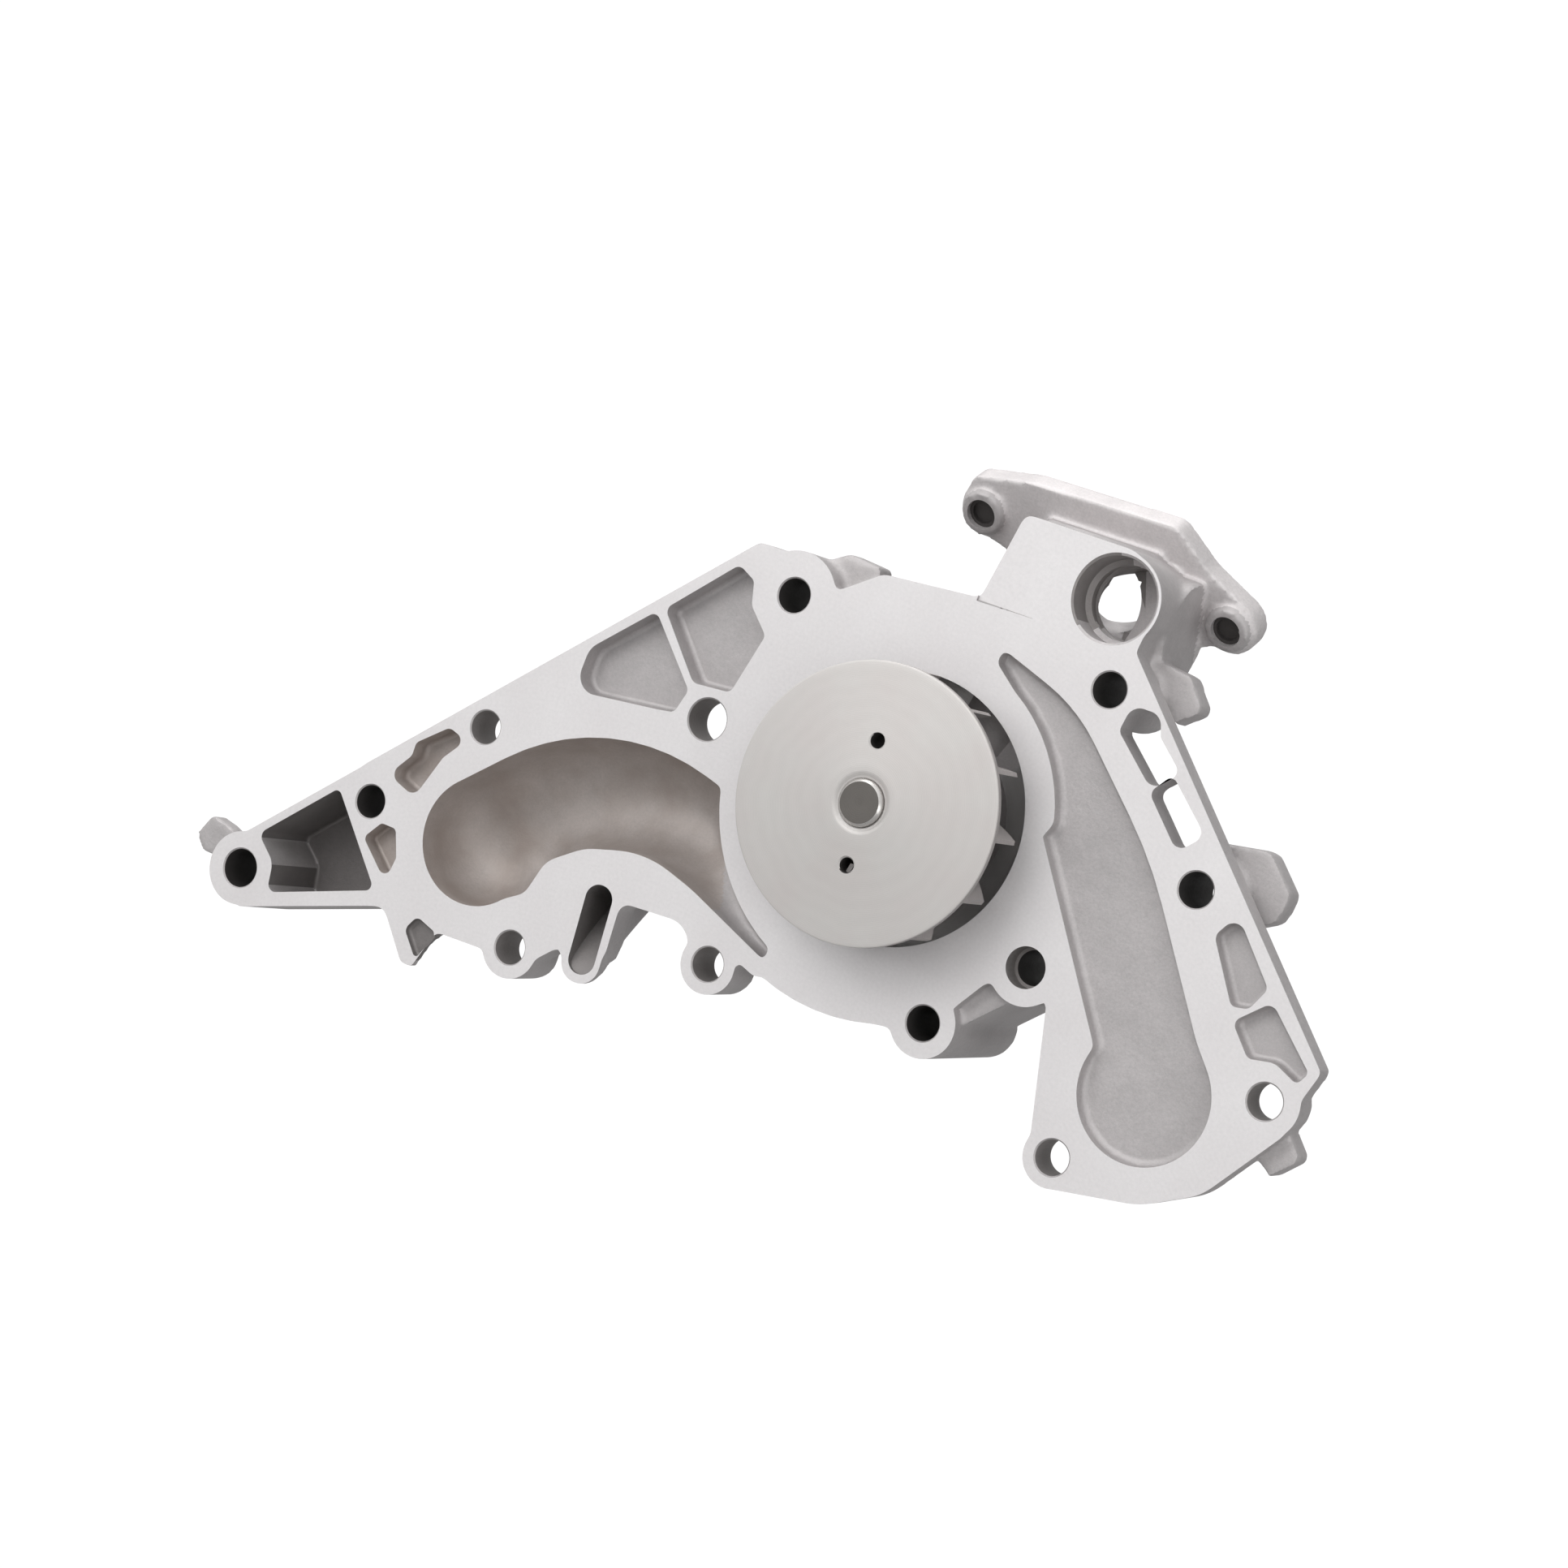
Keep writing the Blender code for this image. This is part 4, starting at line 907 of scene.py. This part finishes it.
def make_pulley():
    inner_y, outer_y = PULLEY_Y
    bore_r = SHAFT_R + 0.05
    profile = [
        (PULLEY_R - 0.8, outer_y), (PULLEY_R, outer_y - 0.8), (PULLEY_R, inner_y + 1.6),
        (PULLEY_R + 1.2, inner_y + 1), (PULLEY_R + 1.2, inner_y), (PULLEY_R - 3, inner_y),
        (PULLEY_R - 3, outer_y - 8), (PULLEY_R - 3.6, outer_y - 6.6), (PULLEY_R - 5, outer_y - 6),
        (15.0, outer_y - 6), (13.6, outer_y - 6.6), (13.0, outer_y - 8), (13.0, 65.5),
        (bore_r, 65.5), (bore_r, outer_y), (13.0, outer_y), (13.6, outer_y - 2.0),
        (15.0, outer_y - 3), (PULLEY_R - 5, outer_y - 3), (PULLEY_R - 3.6, outer_y - 2),
        (PULLEY_R - 3, outer_y),
    ]
    pulley = turned("pulley", softened(profile, 0.35), 160)
    holes = []
    for i in range(PULLEY_HOLES):
        a = math.radians(360 * (i + 0.5) / PULLEY_HOLES)
        r = PULLEY_HOLE_R
        hole = [
            (0, outer_y + 2), (r + 0.4, outer_y + 2), (r + 0.4, outer_y - 3), (r, outer_y - 3.4),
            (r, outer_y - 5.6), (r + 0.4, outer_y - 6), (r + 0.4, outer_y - 10), (0, outer_y - 10),
        ]
        centre = (PULLEY_HOLE_PITCH_R * math.cos(a), PULLEY_HOLE_PITCH_R * math.sin(a))
        holes.append(turned(f"pulley_hole_{i}", hole, 48, centre))
    combine(pulley, joined("pulley_holes", holes))
    return pulley


def groove(side):
    """The ball groove, on the shaft with side -1 and on the outer ring with side 1."""
    reach = BALL_R + 0.1
    turns = [math.radians(degrees) for degrees in range(-38, 39, 9)]
    reach *= side
    return [(PITCH_R + reach * math.cos(a), BALL_Y + reach * math.sin(a)) for a in turns]


def bearing_ring():
    edge = 0.6
    profile = [
        (BEARING_R - edge, BEARING_Y1), (BEARING_R, BEARING_Y1 - edge),
        (BEARING_R, BEARING_Y0 + edge), (BEARING_R - edge, BEARING_Y0), (OUTER_RACE_R, BEARING_Y0),
        *groove(1), (OUTER_RACE_R, BEARING_Y1),
    ]
    return turned("outer_ring", profile, 128)


def bearing_seal(name, y):
    outer, middle, lip = OUTER_RACE_R - GAP, 9.4, SHAFT_R + GAP
    profile = [
        (outer, y + 1.3), (outer, y), (middle + 0.5, y), (middle, y + 0.3), (lip + 0.3, y + 0.3),
        (lip, y + 0.6), (lip + 0.3, y + 1.0), (middle, y + 1.0), (middle + 0.5, y + 1.3),
    ]
    return turned(name, softened(profile, 0.1), 96)


SEAL_PARTS = {
    "seal_case": [
        (16.2, 20.2), (16.2, 7.2), (19.5, 7.2), (19.5, 6.2), (15.2, 6.2), (15.2, 19.2), (8.2, 19.2),
        (8.2, 20.2),
    ],
    "seal_bellows": [
        (9.6, 18.9), (9.6, 16.5), (10.1, 15.5), (10.1, 14.3), (9.2, 13.3), (9.2, 12.1),
        (10.1, 11.1), (10.1, 9.9), (9.6, 8.9), (9.6, 7.3), (8.0, 7.3), (8.0, 9.6), (8.6, 10.4),
        (8.0, 11.6), (8.0, 13.8), (8.6, 14.9), (8.0, 16.0), (8.0, 18.9),
    ],
    "seal_carbon_ring": [
        (12.3, 7.0), (12.3, 4.6), (10.8, 4.0), (10.8, 2.3), (8.2, 2.3), (8.2, 7.0),
    ],
    "seal_ceramic_ring": [(11.9, 2.0), (11.9, -2.6), (7.2, -2.6), (7.2, 2.0)],
    "seal_seat_boot": [
        (14.5, 0.5), (14.5, -4.0), (7.2, -4.0), (7.2, -2.9), (12.2, -2.9), (12.2, 0.5),
    ],
    "shaft_slinger": [(9.8, 22.4), (9.8, 21.6), (6.2, 21.6), (6.2, 22.4)],
}


def make_spring():
    """The seal's coil spring, with a closed first and last turn."""
    turns, per_turn, wire, radius, sides = 4.5, 36, 0.65, 11.4, 10
    low, high = 8.0, 18.2
    rings = []
    count = int(turns * per_turn)
    for i in range(count + 1):
        share = i / count
        eased = share * share * (3 - 2 * share) * 0.5 + share * 0.5
        a = 2 * math.pi * turns * share
        centre = Vector((radius * math.cos(a), low + (high - low) * eased, radius * math.sin(a)))
        outward = Vector((math.cos(a), 0, math.sin(a)))
        ring = []
        for j in range(sides):
            b = 2 * math.pi * j / sides
            ring.append(centre + (outward * math.cos(b) + Vector((0, math.sin(b), 0))) * wire)
        rings.append(ring)
    return loft("spring", rings)


def make_cage(kind):
    """A cage with rounded pockets for its row of balls or rollers."""
    count, y = (BALLS, BALL_Y) if kind == "ball" else (ROLLERS, ROLLER_Y)
    inner, outer, half = CAGES[kind]
    profile = [(outer, y + half), (outer, y - half), (inner, y - half), (inner, y + half)]
    cage = turned(f"{kind}_cage_ring", softened(profile, 0.2), 144)
    pockets = []
    for i in range(count):
        a = 2 * math.pi * i / count
        direction = Vector((math.cos(a), 0, math.sin(a)))
        start = direction * (PITCH_R - 3) + Vector((0, y, 0))
        end = direction * (PITCH_R + 3) + Vector((0, y, 0))
        if kind == "ball":
            pockets.append(cone(f"pocket_{i}", start, end, BALL_R + 0.15, segments=40))
            continue
        side, up = Vector((-direction.z, 0, direction.x)), Vector((0, 1, 0))
        rings = []
        for centre in (start, end):
            ring = []
            for across, along in rounded(ROLLER_POCKET):
                ring.append(centre + side * across + up * along)
            rings.append(ring)
        pockets.append(loft(f"pocket_{i}", rings))
    combine(cage, joined("cage_pockets", pockets))
    return cage


def rolling_piece(kind, index):
    """One ball, or one roller with crowned ends."""
    count, y = (BALLS, BALL_Y) if kind == "ball" else (ROLLERS, ROLLER_Y)
    a = 2 * math.pi * index / count
    centre = (PITCH_R * math.cos(a), PITCH_R * math.sin(a))
    if kind == "ball":
        profile = [
            (BALL_R * math.sin(math.radians(d)), y + BALL_R * math.cos(math.radians(d)))
            for d in range(0, 181, 9)
        ]
        profile[0], profile[-1] = (0, y + BALL_R), (0, y - BALL_R)
    else:
        half = ROLLER_LENGTH / 2
        profile = [
            (0, y + half), (ROLLER_R - 0.35, y + half), (ROLLER_R - 0.1, y + half - 0.1),
            (ROLLER_R, y + half - 0.4), (ROLLER_R, y - half + 0.4),
            (ROLLER_R - 0.1, y - half + 0.1), (ROLLER_R - 0.35, y - half), (0, y - half),
        ]
    return turned(f"{kind}_{index + 1}", profile, 40, centre)


# ---------------------------------------------------------------- finishes


class Nodes:
    """A material under construction."""

    def __init__(self, name):
        self.material = bpy.data.materials.new(name)
        self.material.use_nodes = True
        self.tree = self.material.node_tree
        self.shader = self.tree.nodes["Principled BSDF"]
        self.place = self.add("ShaderNodeTexCoord").outputs["Object"]

    def add(self, kind, **settings):
        node = self.tree.nodes.new(kind)
        for key, value in settings.items():
            setattr(node, key, value)
        return node

    def link(self, a, b):
        self.tree.links.new(a, b)

    def noise(self, size, detail=3.0, roughness=0.55, place=None):
        """Noise whose grains are about size millimetres."""
        node = self.add("ShaderNodeTexNoise")
        node.inputs["Scale"].default_value = 1 / (size * MM)
        node.inputs["Detail"].default_value = detail
        node.inputs["Roughness"].default_value = roughness
        self.link(place or self.place, node.inputs["Vector"])
        return node.outputs["Fac"]

    def rings(self, pitch, centre=(0, 0, 0), distortion=0.0):
        """Turning or milling marks round a line along Y, their pitch in millimetres."""
        shift = self.add("ShaderNodeMapping")
        shift.inputs["Location"].default_value = [-c * MM for c in centre]
        self.link(self.place, shift.inputs["Vector"])
        wave = self.add("ShaderNodeTexWave", wave_type="RINGS", rings_direction="Y")
        wave.inputs["Scale"].default_value = 0.314 / (pitch * MM)
        wave.inputs["Distortion"].default_value = distortion
        wave.inputs["Detail"].default_value = 2.0
        wave.inputs["Detail Scale"].default_value = 1.5
        self.link(shift.outputs["Vector"], wave.inputs["Vector"])
        return wave.outputs["Fac"]

    def ramp(self, value, stops):
        node = self.add("ShaderNodeValToRGB")
        elements = node.color_ramp.elements
        while len(elements) < len(stops):
            elements.new(0.5)
        for element, (position, colour) in zip(elements, stops):
            element.position = position
            element.color = (*colour, 1)
        self.link(value, node.inputs["Fac"])
        return node.outputs["Color"]

    def mix(self, share, first, second, blend="MIX"):
        node = self.add("ShaderNodeMix", data_type="RGBA", blend_type=blend)
        if isinstance(share, float):
            node.inputs["Factor"].default_value = share
        else:
            self.link(share, node.inputs["Factor"])
        self.link(first, node.inputs["A"])
        self.link(second, node.inputs["B"])
        return node.outputs["Result"]

    def span(self, value, low, high, start=0.3, end=0.7):
        node = self.add("ShaderNodeMapRange")
        ends = (("From Min", start), ("From Max", end), ("To Min", low), ("To Max", high))
        for name, number in ends:
            node.inputs[name].default_value = number
        self.link(value, node.inputs["Value"])
        return node.outputs["Result"]

    def bump(self, heights):
        """Bumps of (height socket, depth in millimetres), one on top of another."""
        before = None
        for height, depth in heights:
            node = self.add("ShaderNodeBump")
            node.inputs["Strength"].default_value = 1.0
            node.inputs["Distance"].default_value = depth * MM
            self.link(height, node.inputs["Height"])
            if before:
                self.link(before, node.inputs["Normal"])
            before = node.outputs["Normal"]
        self.link(before, self.shader.inputs["Normal"])

    def finish(self, colour, roughness, metallic):
        self.link(colour, self.shader.inputs["Base Color"])
        if isinstance(roughness, float):
            self.shader.inputs["Roughness"].default_value = roughness
        else:
            self.link(roughness, self.shader.inputs["Roughness"])
        self.shader.inputs["Metallic"].default_value = metallic
        return self.material


def grey(value, warm=0.0):
    return (value * (1 + warm), value, value * (1 - warm))


def cast_finish(name, tone, warm, stain_and_shade=None):
    """Sand-cast aluminium: a fine grain, soft mottling and, if a patch colour is given, darker
    patches that are partly stains and partly painted shade.
    """
    nodes = Nodes(name)
    mottle = nodes.noise(9.0, 4.0)
    grain = nodes.noise(0.7, 4.0, 0.7)
    pits = nodes.noise(2.4, 3.0, 0.6)
    red, green, blue = tone * (1.045 + warm), tone, tone * (1 - warm)
    dull, clean = (tuple(c * share for c in (red, green, blue)) for share in (0.94, 1.05))
    base = nodes.ramp(mottle, [(0.3, dull), (0.7, clean)])
    fine = nodes.ramp(grain, [(0.3, grey(0.82)), (0.7, grey(1.0))])
    colour = nodes.mix(1.0, base, fine, "MULTIPLY")
    # Darker patches: partly stains, partly painted shade of the hollows.
    if stain_and_shade:
        patch = nodes.ramp(nodes.noise(16.0, 3.0), [(0.42, (0, 0, 0)), (0.68, (1, 1, 1))])
        dark = nodes.ramp(grain, [(0.2, stain_and_shade), (0.8, tuple(c * 1.2 for c in stain_and_shade))])
        colour = nodes.mix(patch, colour, dark)
    nodes.bump([(mottle, 0.12), (pits, 0.07), (grain, 0.05)])
    return nodes.finish(colour, nodes.span(grain, 0.5, 0.66), 0.55)


def milled_finish():
    """The gasket face: face-milled aluminium, bright, with faint sweeping cutter marks."""
    nodes = Nodes("aluminium_milled")
    sweep = nodes.rings(1.3, (-60.0, 0.0, -230.0), 2.5)
    cloud = nodes.noise(26.0, 3.0)
    grain = nodes.noise(0.9, 5.0, 0.65)
    base = nodes.ramp(cloud, [(0.3, (0.735, 0.712, 0.715)), (0.7, (0.775, 0.757, 0.760))])
    marks = nodes.ramp(sweep, [(0.0, grey(0.992)), (1.0, grey(1.0))])
    speckle = nodes.ramp(grain, [(0.3, grey(0.93)), (0.65, grey(1.0))])
    colour = nodes.mix(1.0, nodes.mix(1.0, base, marks, "MULTIPLY"), speckle, "MULTIPLY")
    nodes.bump([(sweep, 0.0015), (grain, 0.012)])
    return nodes.finish(colour, nodes.span(grain, 0.44, 0.54), 0.4)


def turned_finish(name, tone, warm, roughness, pitch=0.35, metallic=0.9, tint=None):
    """Turned or bored metal with fine rings round the shaft's axis."""
    nodes = Nodes(name)
    rings = nodes.rings(pitch, distortion=0.6)
    wide = nodes.rings(pitch * 9, distortion=4.0)
    grain = nodes.noise(0.7, 4.0, 0.65)
    cloud = nodes.noise(14.0, 3.0)
    stops = [(0.3, grey(tone * 0.94, warm)), (0.7, tint or grey(tone * 1.05, warm))]
    base = nodes.ramp(cloud, stops)
    marks = nodes.ramp(rings, [(0.0, grey(0.97)), (1.0, grey(1.0))])
    bands = nodes.ramp(wide, [(0.0, grey(0.982)), (1.0, grey(1.0))])
    colour = nodes.mix(1.0, nodes.mix(1.0, base, marks, "MULTIPLY"), bands, "MULTIPLY")
    nodes.bump([(rings, 0.006), (grain, 0.008)])
    return nodes.finish(colour, nodes.span(grain, roughness - 0.05, roughness + 0.07), metallic)


def plain_finish(name, dark, light, roughness, metallic, size=1.2, depth=0.02):
    """A finish with only a fine grain, for rubber, carbon, ceramic and brass."""
    nodes = Nodes(name)
    grain = nodes.noise(size, 4.0)
    cloud = nodes.noise(size * 8, 2.0)
    stops = [(0.3, dark), (0.7, light)]
    colour = nodes.mix(0.5, nodes.ramp(grain, stops), nodes.ramp(cloud, stops))
    nodes.bump([(grain, depth)])
    return nodes.finish(colour, nodes.span(grain, roughness - 0.05, roughness + 0.05), metallic)


def make_finishes():
    return {
        "cast": cast_finish("aluminium_cast", 0.50, 0.0),
        "face": milled_finish(),
        "bore": turned_finish("aluminium_bored", 0.50, 0.01, 0.34, 0.5, 0.8),
        # Partly stain, partly painted shade: darker and warmer than the open casting, with darker
        # patches.
        "volute": cast_finish("aluminium_volute_painted_shade", 0.47, 0.05, (0.36, 0.315, 0.29)),
        # Painted shade for deep, narrow hollows.
        "deep": cast_finish("aluminium_deep_painted_shade", 0.22, 0.02),
        # Painted light: lighter than the open casting, for the thermostat flange and the lit side
        # of the bypass bore.
        "rim": cast_finish("aluminium_rim_painted_light", 0.66, 0.0),
        # Painted shade for the walls of drilled holes: near black in long holes, mid grey in short
        # ones.
        "long_hole": cast_finish("drilled_deep_painted_shade", 0.07, 0.03),
        "short_hole": cast_finish("drilled_short_painted_shade", 0.33, 0.02),
        "disc": turned_finish("impeller_disc", 0.60, 0.03, 0.46, 0.45, 0.35, (0.57, 0.54, 0.525)),
        "vanes": cast_finish("impeller_inside", 0.40, 0.02),
        "shaft": turned_finish("shaft_steel", 0.62, 0.03, 0.30, 0.3, 0.9),
        "shaft_end": turned_finish("shaft_end", 0.125, 0.08, 0.50, 0.5, 0.4),
        "pulley": turned_finish("pulley_steel", 0.46, 0.01, 0.33, 0.4),
        "race": turned_finish("bearing_steel", 0.60, 0.0, 0.18, 0.2, 1.0),
        "sheet": turned_finish("seal_steel", 0.55, 0.02, 0.28, 0.5, 1.0),
        "rubber": plain_finish("black_rubber", (0.012, 0.012, 0.013), (0.03, 0.03, 0.03), 0.7, 0.0),
        "carbon": plain_finish(
            "carbon_graphite", (0.02, 0.02, 0.022), (0.05, 0.05, 0.055), 0.38, 0.2, 0.4
        ),
        "ceramic": plain_finish(
            "ceramic", (0.72, 0.70, 0.65), (0.82, 0.80, 0.76), 0.22, 0.0, 0.5, 0.004
        ),
        "brass": plain_finish(
            "cage_brass", (0.48, 0.34, 0.12), (0.66, 0.50, 0.20), 0.3, 1.0, 0.8, 0.01
        ),
    }


# ---------------------------------------------------------------- assembly


def place(obj, name, body, slot, *nodes):
    """Names a finished piece, ties it to its body unless it lies between bodies, and hides the CAD
    nodes that it stands for.
    """
    obj.name = name
    obj.data.name = name
    if body == "between":
        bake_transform(obj)
    else:
        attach(obj, body)
    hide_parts(*nodes)


def dress(obj, *materials, angle=32.0):
    obj.data.materials.clear()
    for material in materials:
        obj.data.materials.append(material)
    obj.data.shade_smooth()
    obj.data.set_sharp_from_angle(angle=math.radians(angle))
    modifier = obj.modifiers.new("normals", "WEIGHTED_NORMAL")
    modifier.keep_sharp = True
    bake_modifiers(obj)


def split(obj, where, index):
    """Gives another of its finishes to the faces that where picks by centre and normal."""
    for face in obj.data.polygons:
        if where(face.center / MM, face.normal):
            face.material_index = index


def make_casting(finishes):
    housing = make_housing()
    dress(housing, *(finishes[name] for name in FINISHES))
    sort_faces(housing)
    place(housing, "housing_casting", "housing", "cast_aluminium", "pump_housing")


def make_rotor(finishes):
    impeller = make_impeller()
    dress(impeller, finishes["disc"], finishes["vanes"], finishes["long_hole"])
    split(impeller, lambda centre, normal: centre.y > -18.3, 1)
    # The puller holes get the near-black painted shade of the long drilled holes.
    for degrees in PULLER_ANGLES:
        a = math.radians(degrees)
        axis = Vector((PULLER_R * math.cos(a), PULLER_R * math.sin(a)))
        split(impeller, lambda c, n: (c.xz - axis).length < PULLER_HOLE_R + 0.1 and c.y < -12, 2)
    place(impeller, "impeller_wheel", "rotor", "impeller_steel", "impeller")
    shaft = make_shaft()
    dress(shaft, finishes["shaft"], finishes["shaft_end"])
    split(shaft, lambda centre, normal: normal.y < -0.9 and centre.y < SHAFT_Y0 + 0.6, 1)
    place(shaft, "shaft_rod", "rotor", "shaft_steel", "pump_shaft")
    pulley = make_pulley()
    dress(pulley, finishes["pulley"])
    place(pulley, "pulley_wheel", "rotor", "pulley_steel", "belt_pulley")


def make_bearing(finishes):
    ring = bearing_ring()
    dress(ring, finishes["race"])
    place(ring, "bearing_ring", "housing", "bearing_steel", "bearing_outer_ring")
    for name, y in BEARING_SEALS.items():
        seal = bearing_seal(name, y)
        dress(seal, finishes["rubber"])
        place(seal, name.replace("bearing_seal", "lip_seal"), "housing", "seal_rubber", name)


def make_seal(finishes):
    looks = {
        "seal_case": ("sheet", "seal_steel", "housing"),
        "seal_bellows": ("rubber", "seal_rubber", "between"),
        "seal_carbon_ring": ("carbon", "seal_carbon", "face_ring"),
        "seal_ceramic_ring": ("ceramic", "seal_ceramic", "rotor"),
        "seal_seat_boot": ("rubber", "seal_rubber", "rotor"),
        "shaft_slinger": ("sheet", "seal_steel", "rotor"),
    }
    for node, (finish, slot, body) in looks.items():
        piece = turned(node, softened(SEAL_PARTS[node], 0.25), 112)
        dress(piece, finishes[finish])
        place(piece, f"{node}_piece", body, slot, node)
    spring = make_spring()
    dress(spring, finishes["sheet"], angle=60.0)
    place(spring, "seal_spring_coil", "between", "seal_steel", "seal_spring")


def make_rows(finishes):
    """The two rows of rolling elements, each with its cage."""
    for kind, count in (("ball", BALLS), ("roller", ROLLERS)):
        cage = make_cage(kind)
        dress(cage, finishes["brass"])
        place(cage, f"{kind}_cage_piece", f"{kind}_row", "cage_brass", f"{kind}_cage")
        for i in range(count):
            piece = rolling_piece(kind, i)
            dress(piece, finishes["race"])
            node = f"bearing_{kind}_{i + 1}"
            place(piece, f"{node}_piece", f"{kind}_row", "bearing_steel", node)


# ---------------------------------------------------------------- studio


CAMERA_TARGET = Vector((-31.1, 0.0, -4.43))
CAMERA_BACK = Vector((0.4294, -0.8993, 0.0833))
CAMERA_UP = Vector((-0.3266, -0.0687, 0.9427))
CAMERA_DISTANCE = 880.0
CAMERA_LENS = 80.55
FLOOR_Z = -0.30
SOFTBOX = (-0.30, -0.80, 0.52)  # towards the main light, above and left of the camera
SOFT_SHARES = (0.10, 0.40, 1.0)  # brightness away from it, beside it and towards it
SOFT_STRENGTH = 1.44
WHITE = 1.05  # how the backdrop and the floor look
LIT_PLACE = Vector((-0.03, 0.0, 0.0))
LIGHTS = (  # name, direction, distance and size in metres, watts
    ("key", SOFTBOX, 1.6, 0.8, 5.0),
    ("top", (-0.35, 0.15, 1.0), 1.4, 0.8, 5.0),
    ("fill", (0.75, -0.35, -0.10), 1.3, 0.7, 4.0),
)


def make_camera():
    back = CAMERA_BACK.normalized()
    right = CAMERA_UP.cross(back).normalized()
    up = back.cross(right)
    camera = bpy.data.objects.new("camera", bpy.data.cameras.new("camera"))
    bpy.context.scene.collection.objects.link(camera)
    place_at = (CAMERA_TARGET + back * CAMERA_DISTANCE) * MM
    turn = Matrix((right, up, back)).transposed().to_4x4()
    camera.matrix_world = Matrix.Translation(place_at) @ turn
    camera.data.lens = CAMERA_LENS
    camera.data.sensor_width = 36.0
    camera.data.clip_start = 0.01
    camera.data.clip_end = 50.0
    bpy.context.scene.camera = camera


def add_light(name, towards, distance, size, power):
    """A square area light that faces the object from a direction."""
    light = bpy.data.lights.new(name, "AREA")
    light.size = size
    light.energy = power
    obj = bpy.data.objects.new(name, light)
    bpy.context.scene.collection.objects.link(obj)
    direction = Vector(towards).normalized()
    obj.location = LIT_PLACE + direction * distance
    obj.rotation_mode = "QUATERNION"
    obj.rotation_quaternion = direction.to_track_quat("Z", "Y")


def show_white(tree, lit, white, kind):
    """The backdrop and the floor light the object softly, and are plain white themselves."""
    for node in list(tree.nodes):
        if node.bl_idname == kind:
            tree.nodes.remove(node)
    path = tree.nodes.new("ShaderNodeLightPath")
    mix = tree.nodes.new("ShaderNodeMixShader")
    output = tree.nodes.new(kind)
    tree.links.new(path.outputs["Is Camera Ray"], mix.inputs[0])
    tree.links.new(lit, mix.inputs[1])
    tree.links.new(white, mix.inputs[2])
    tree.links.new(mix.outputs[0], output.inputs["Surface"])


def make_backdrop():
    """A soft light from all round, strongest from SOFTBOX and weakest from opposite."""
    world = bpy.data.worlds.new("studio")
    bpy.context.scene.world = world
    world.use_nodes = True
    tree = world.node_tree
    tree.nodes.clear()
    towards = tree.nodes.new("ShaderNodeTexCoord")
    aim = tree.nodes.new("ShaderNodeVectorMath")
    aim.operation = "DOT_PRODUCT"
    aim.inputs[1].default_value = Vector(SOFTBOX).normalized()
    tree.links.new(towards.outputs["Generated"], aim.inputs[0])
    spread = tree.nodes.new("ShaderNodeMapRange")
    for name, number in (("From Min", -1.0), ("From Max", 1.0), ("To Min", 0.0), ("To Max", 1.0)):
        spread.inputs[name].default_value = number
    tree.links.new(aim.outputs["Value"], spread.inputs["Value"])
    ramp = tree.nodes.new("ShaderNodeValToRGB")
    ramp.color_ramp.elements.new(0.5)
    for element, share in zip(ramp.color_ramp.elements, SOFT_SHARES):
        element.color = (share, share, share, 1)
    tree.links.new(spread.outputs["Result"], ramp.inputs["Fac"])
    soft = tree.nodes.new("ShaderNodeBackground")
    soft.inputs["Strength"].default_value = SOFT_STRENGTH
    tree.links.new(ramp.outputs["Color"], soft.inputs["Color"])
    white = tree.nodes.new("ShaderNodeBackground")
    white.inputs["Color"].default_value = (1, 1, 1, 1)
    white.inputs["Strength"].default_value = WHITE
    lit, plain = soft.outputs["Background"], white.outputs["Background"]
    show_white(tree, lit, plain, "ShaderNodeOutputWorld")
    bpy.context.scene.view_settings.view_transform = "Standard"


def make_floor():
    shape = bmesh.new()
    bmesh.ops.create_grid(shape, x_segments=1, y_segments=1, size=12.0)
    floor = from_bmesh("floor", shape)
    floor.location.z = FLOOR_Z
    nodes = Nodes("pale_floor")
    cloud = nodes.ramp(nodes.noise(400.0, 1.0), [(0.0, grey(0.34)), (1.0, grey(0.36))])
    material = nodes.finish(cloud, 0.9, 0.0)
    white = nodes.add("ShaderNodeEmission").outputs["Emission"]
    white.node.inputs["Strength"].default_value = WHITE
    lit = nodes.shader.outputs["BSDF"]
    show_white(material.node_tree, lit, white, "ShaderNodeOutputMaterial")
    floor.data.materials.append(material)


def main():
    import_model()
    finishes = make_finishes()
    for make in (make_casting, make_rotor, make_bearing, make_seal, make_rows):
        make(finishes)
    make_camera()
    make_backdrop()
    make_floor()
    for light in LIGHTS:
        add_light(*light)


main()
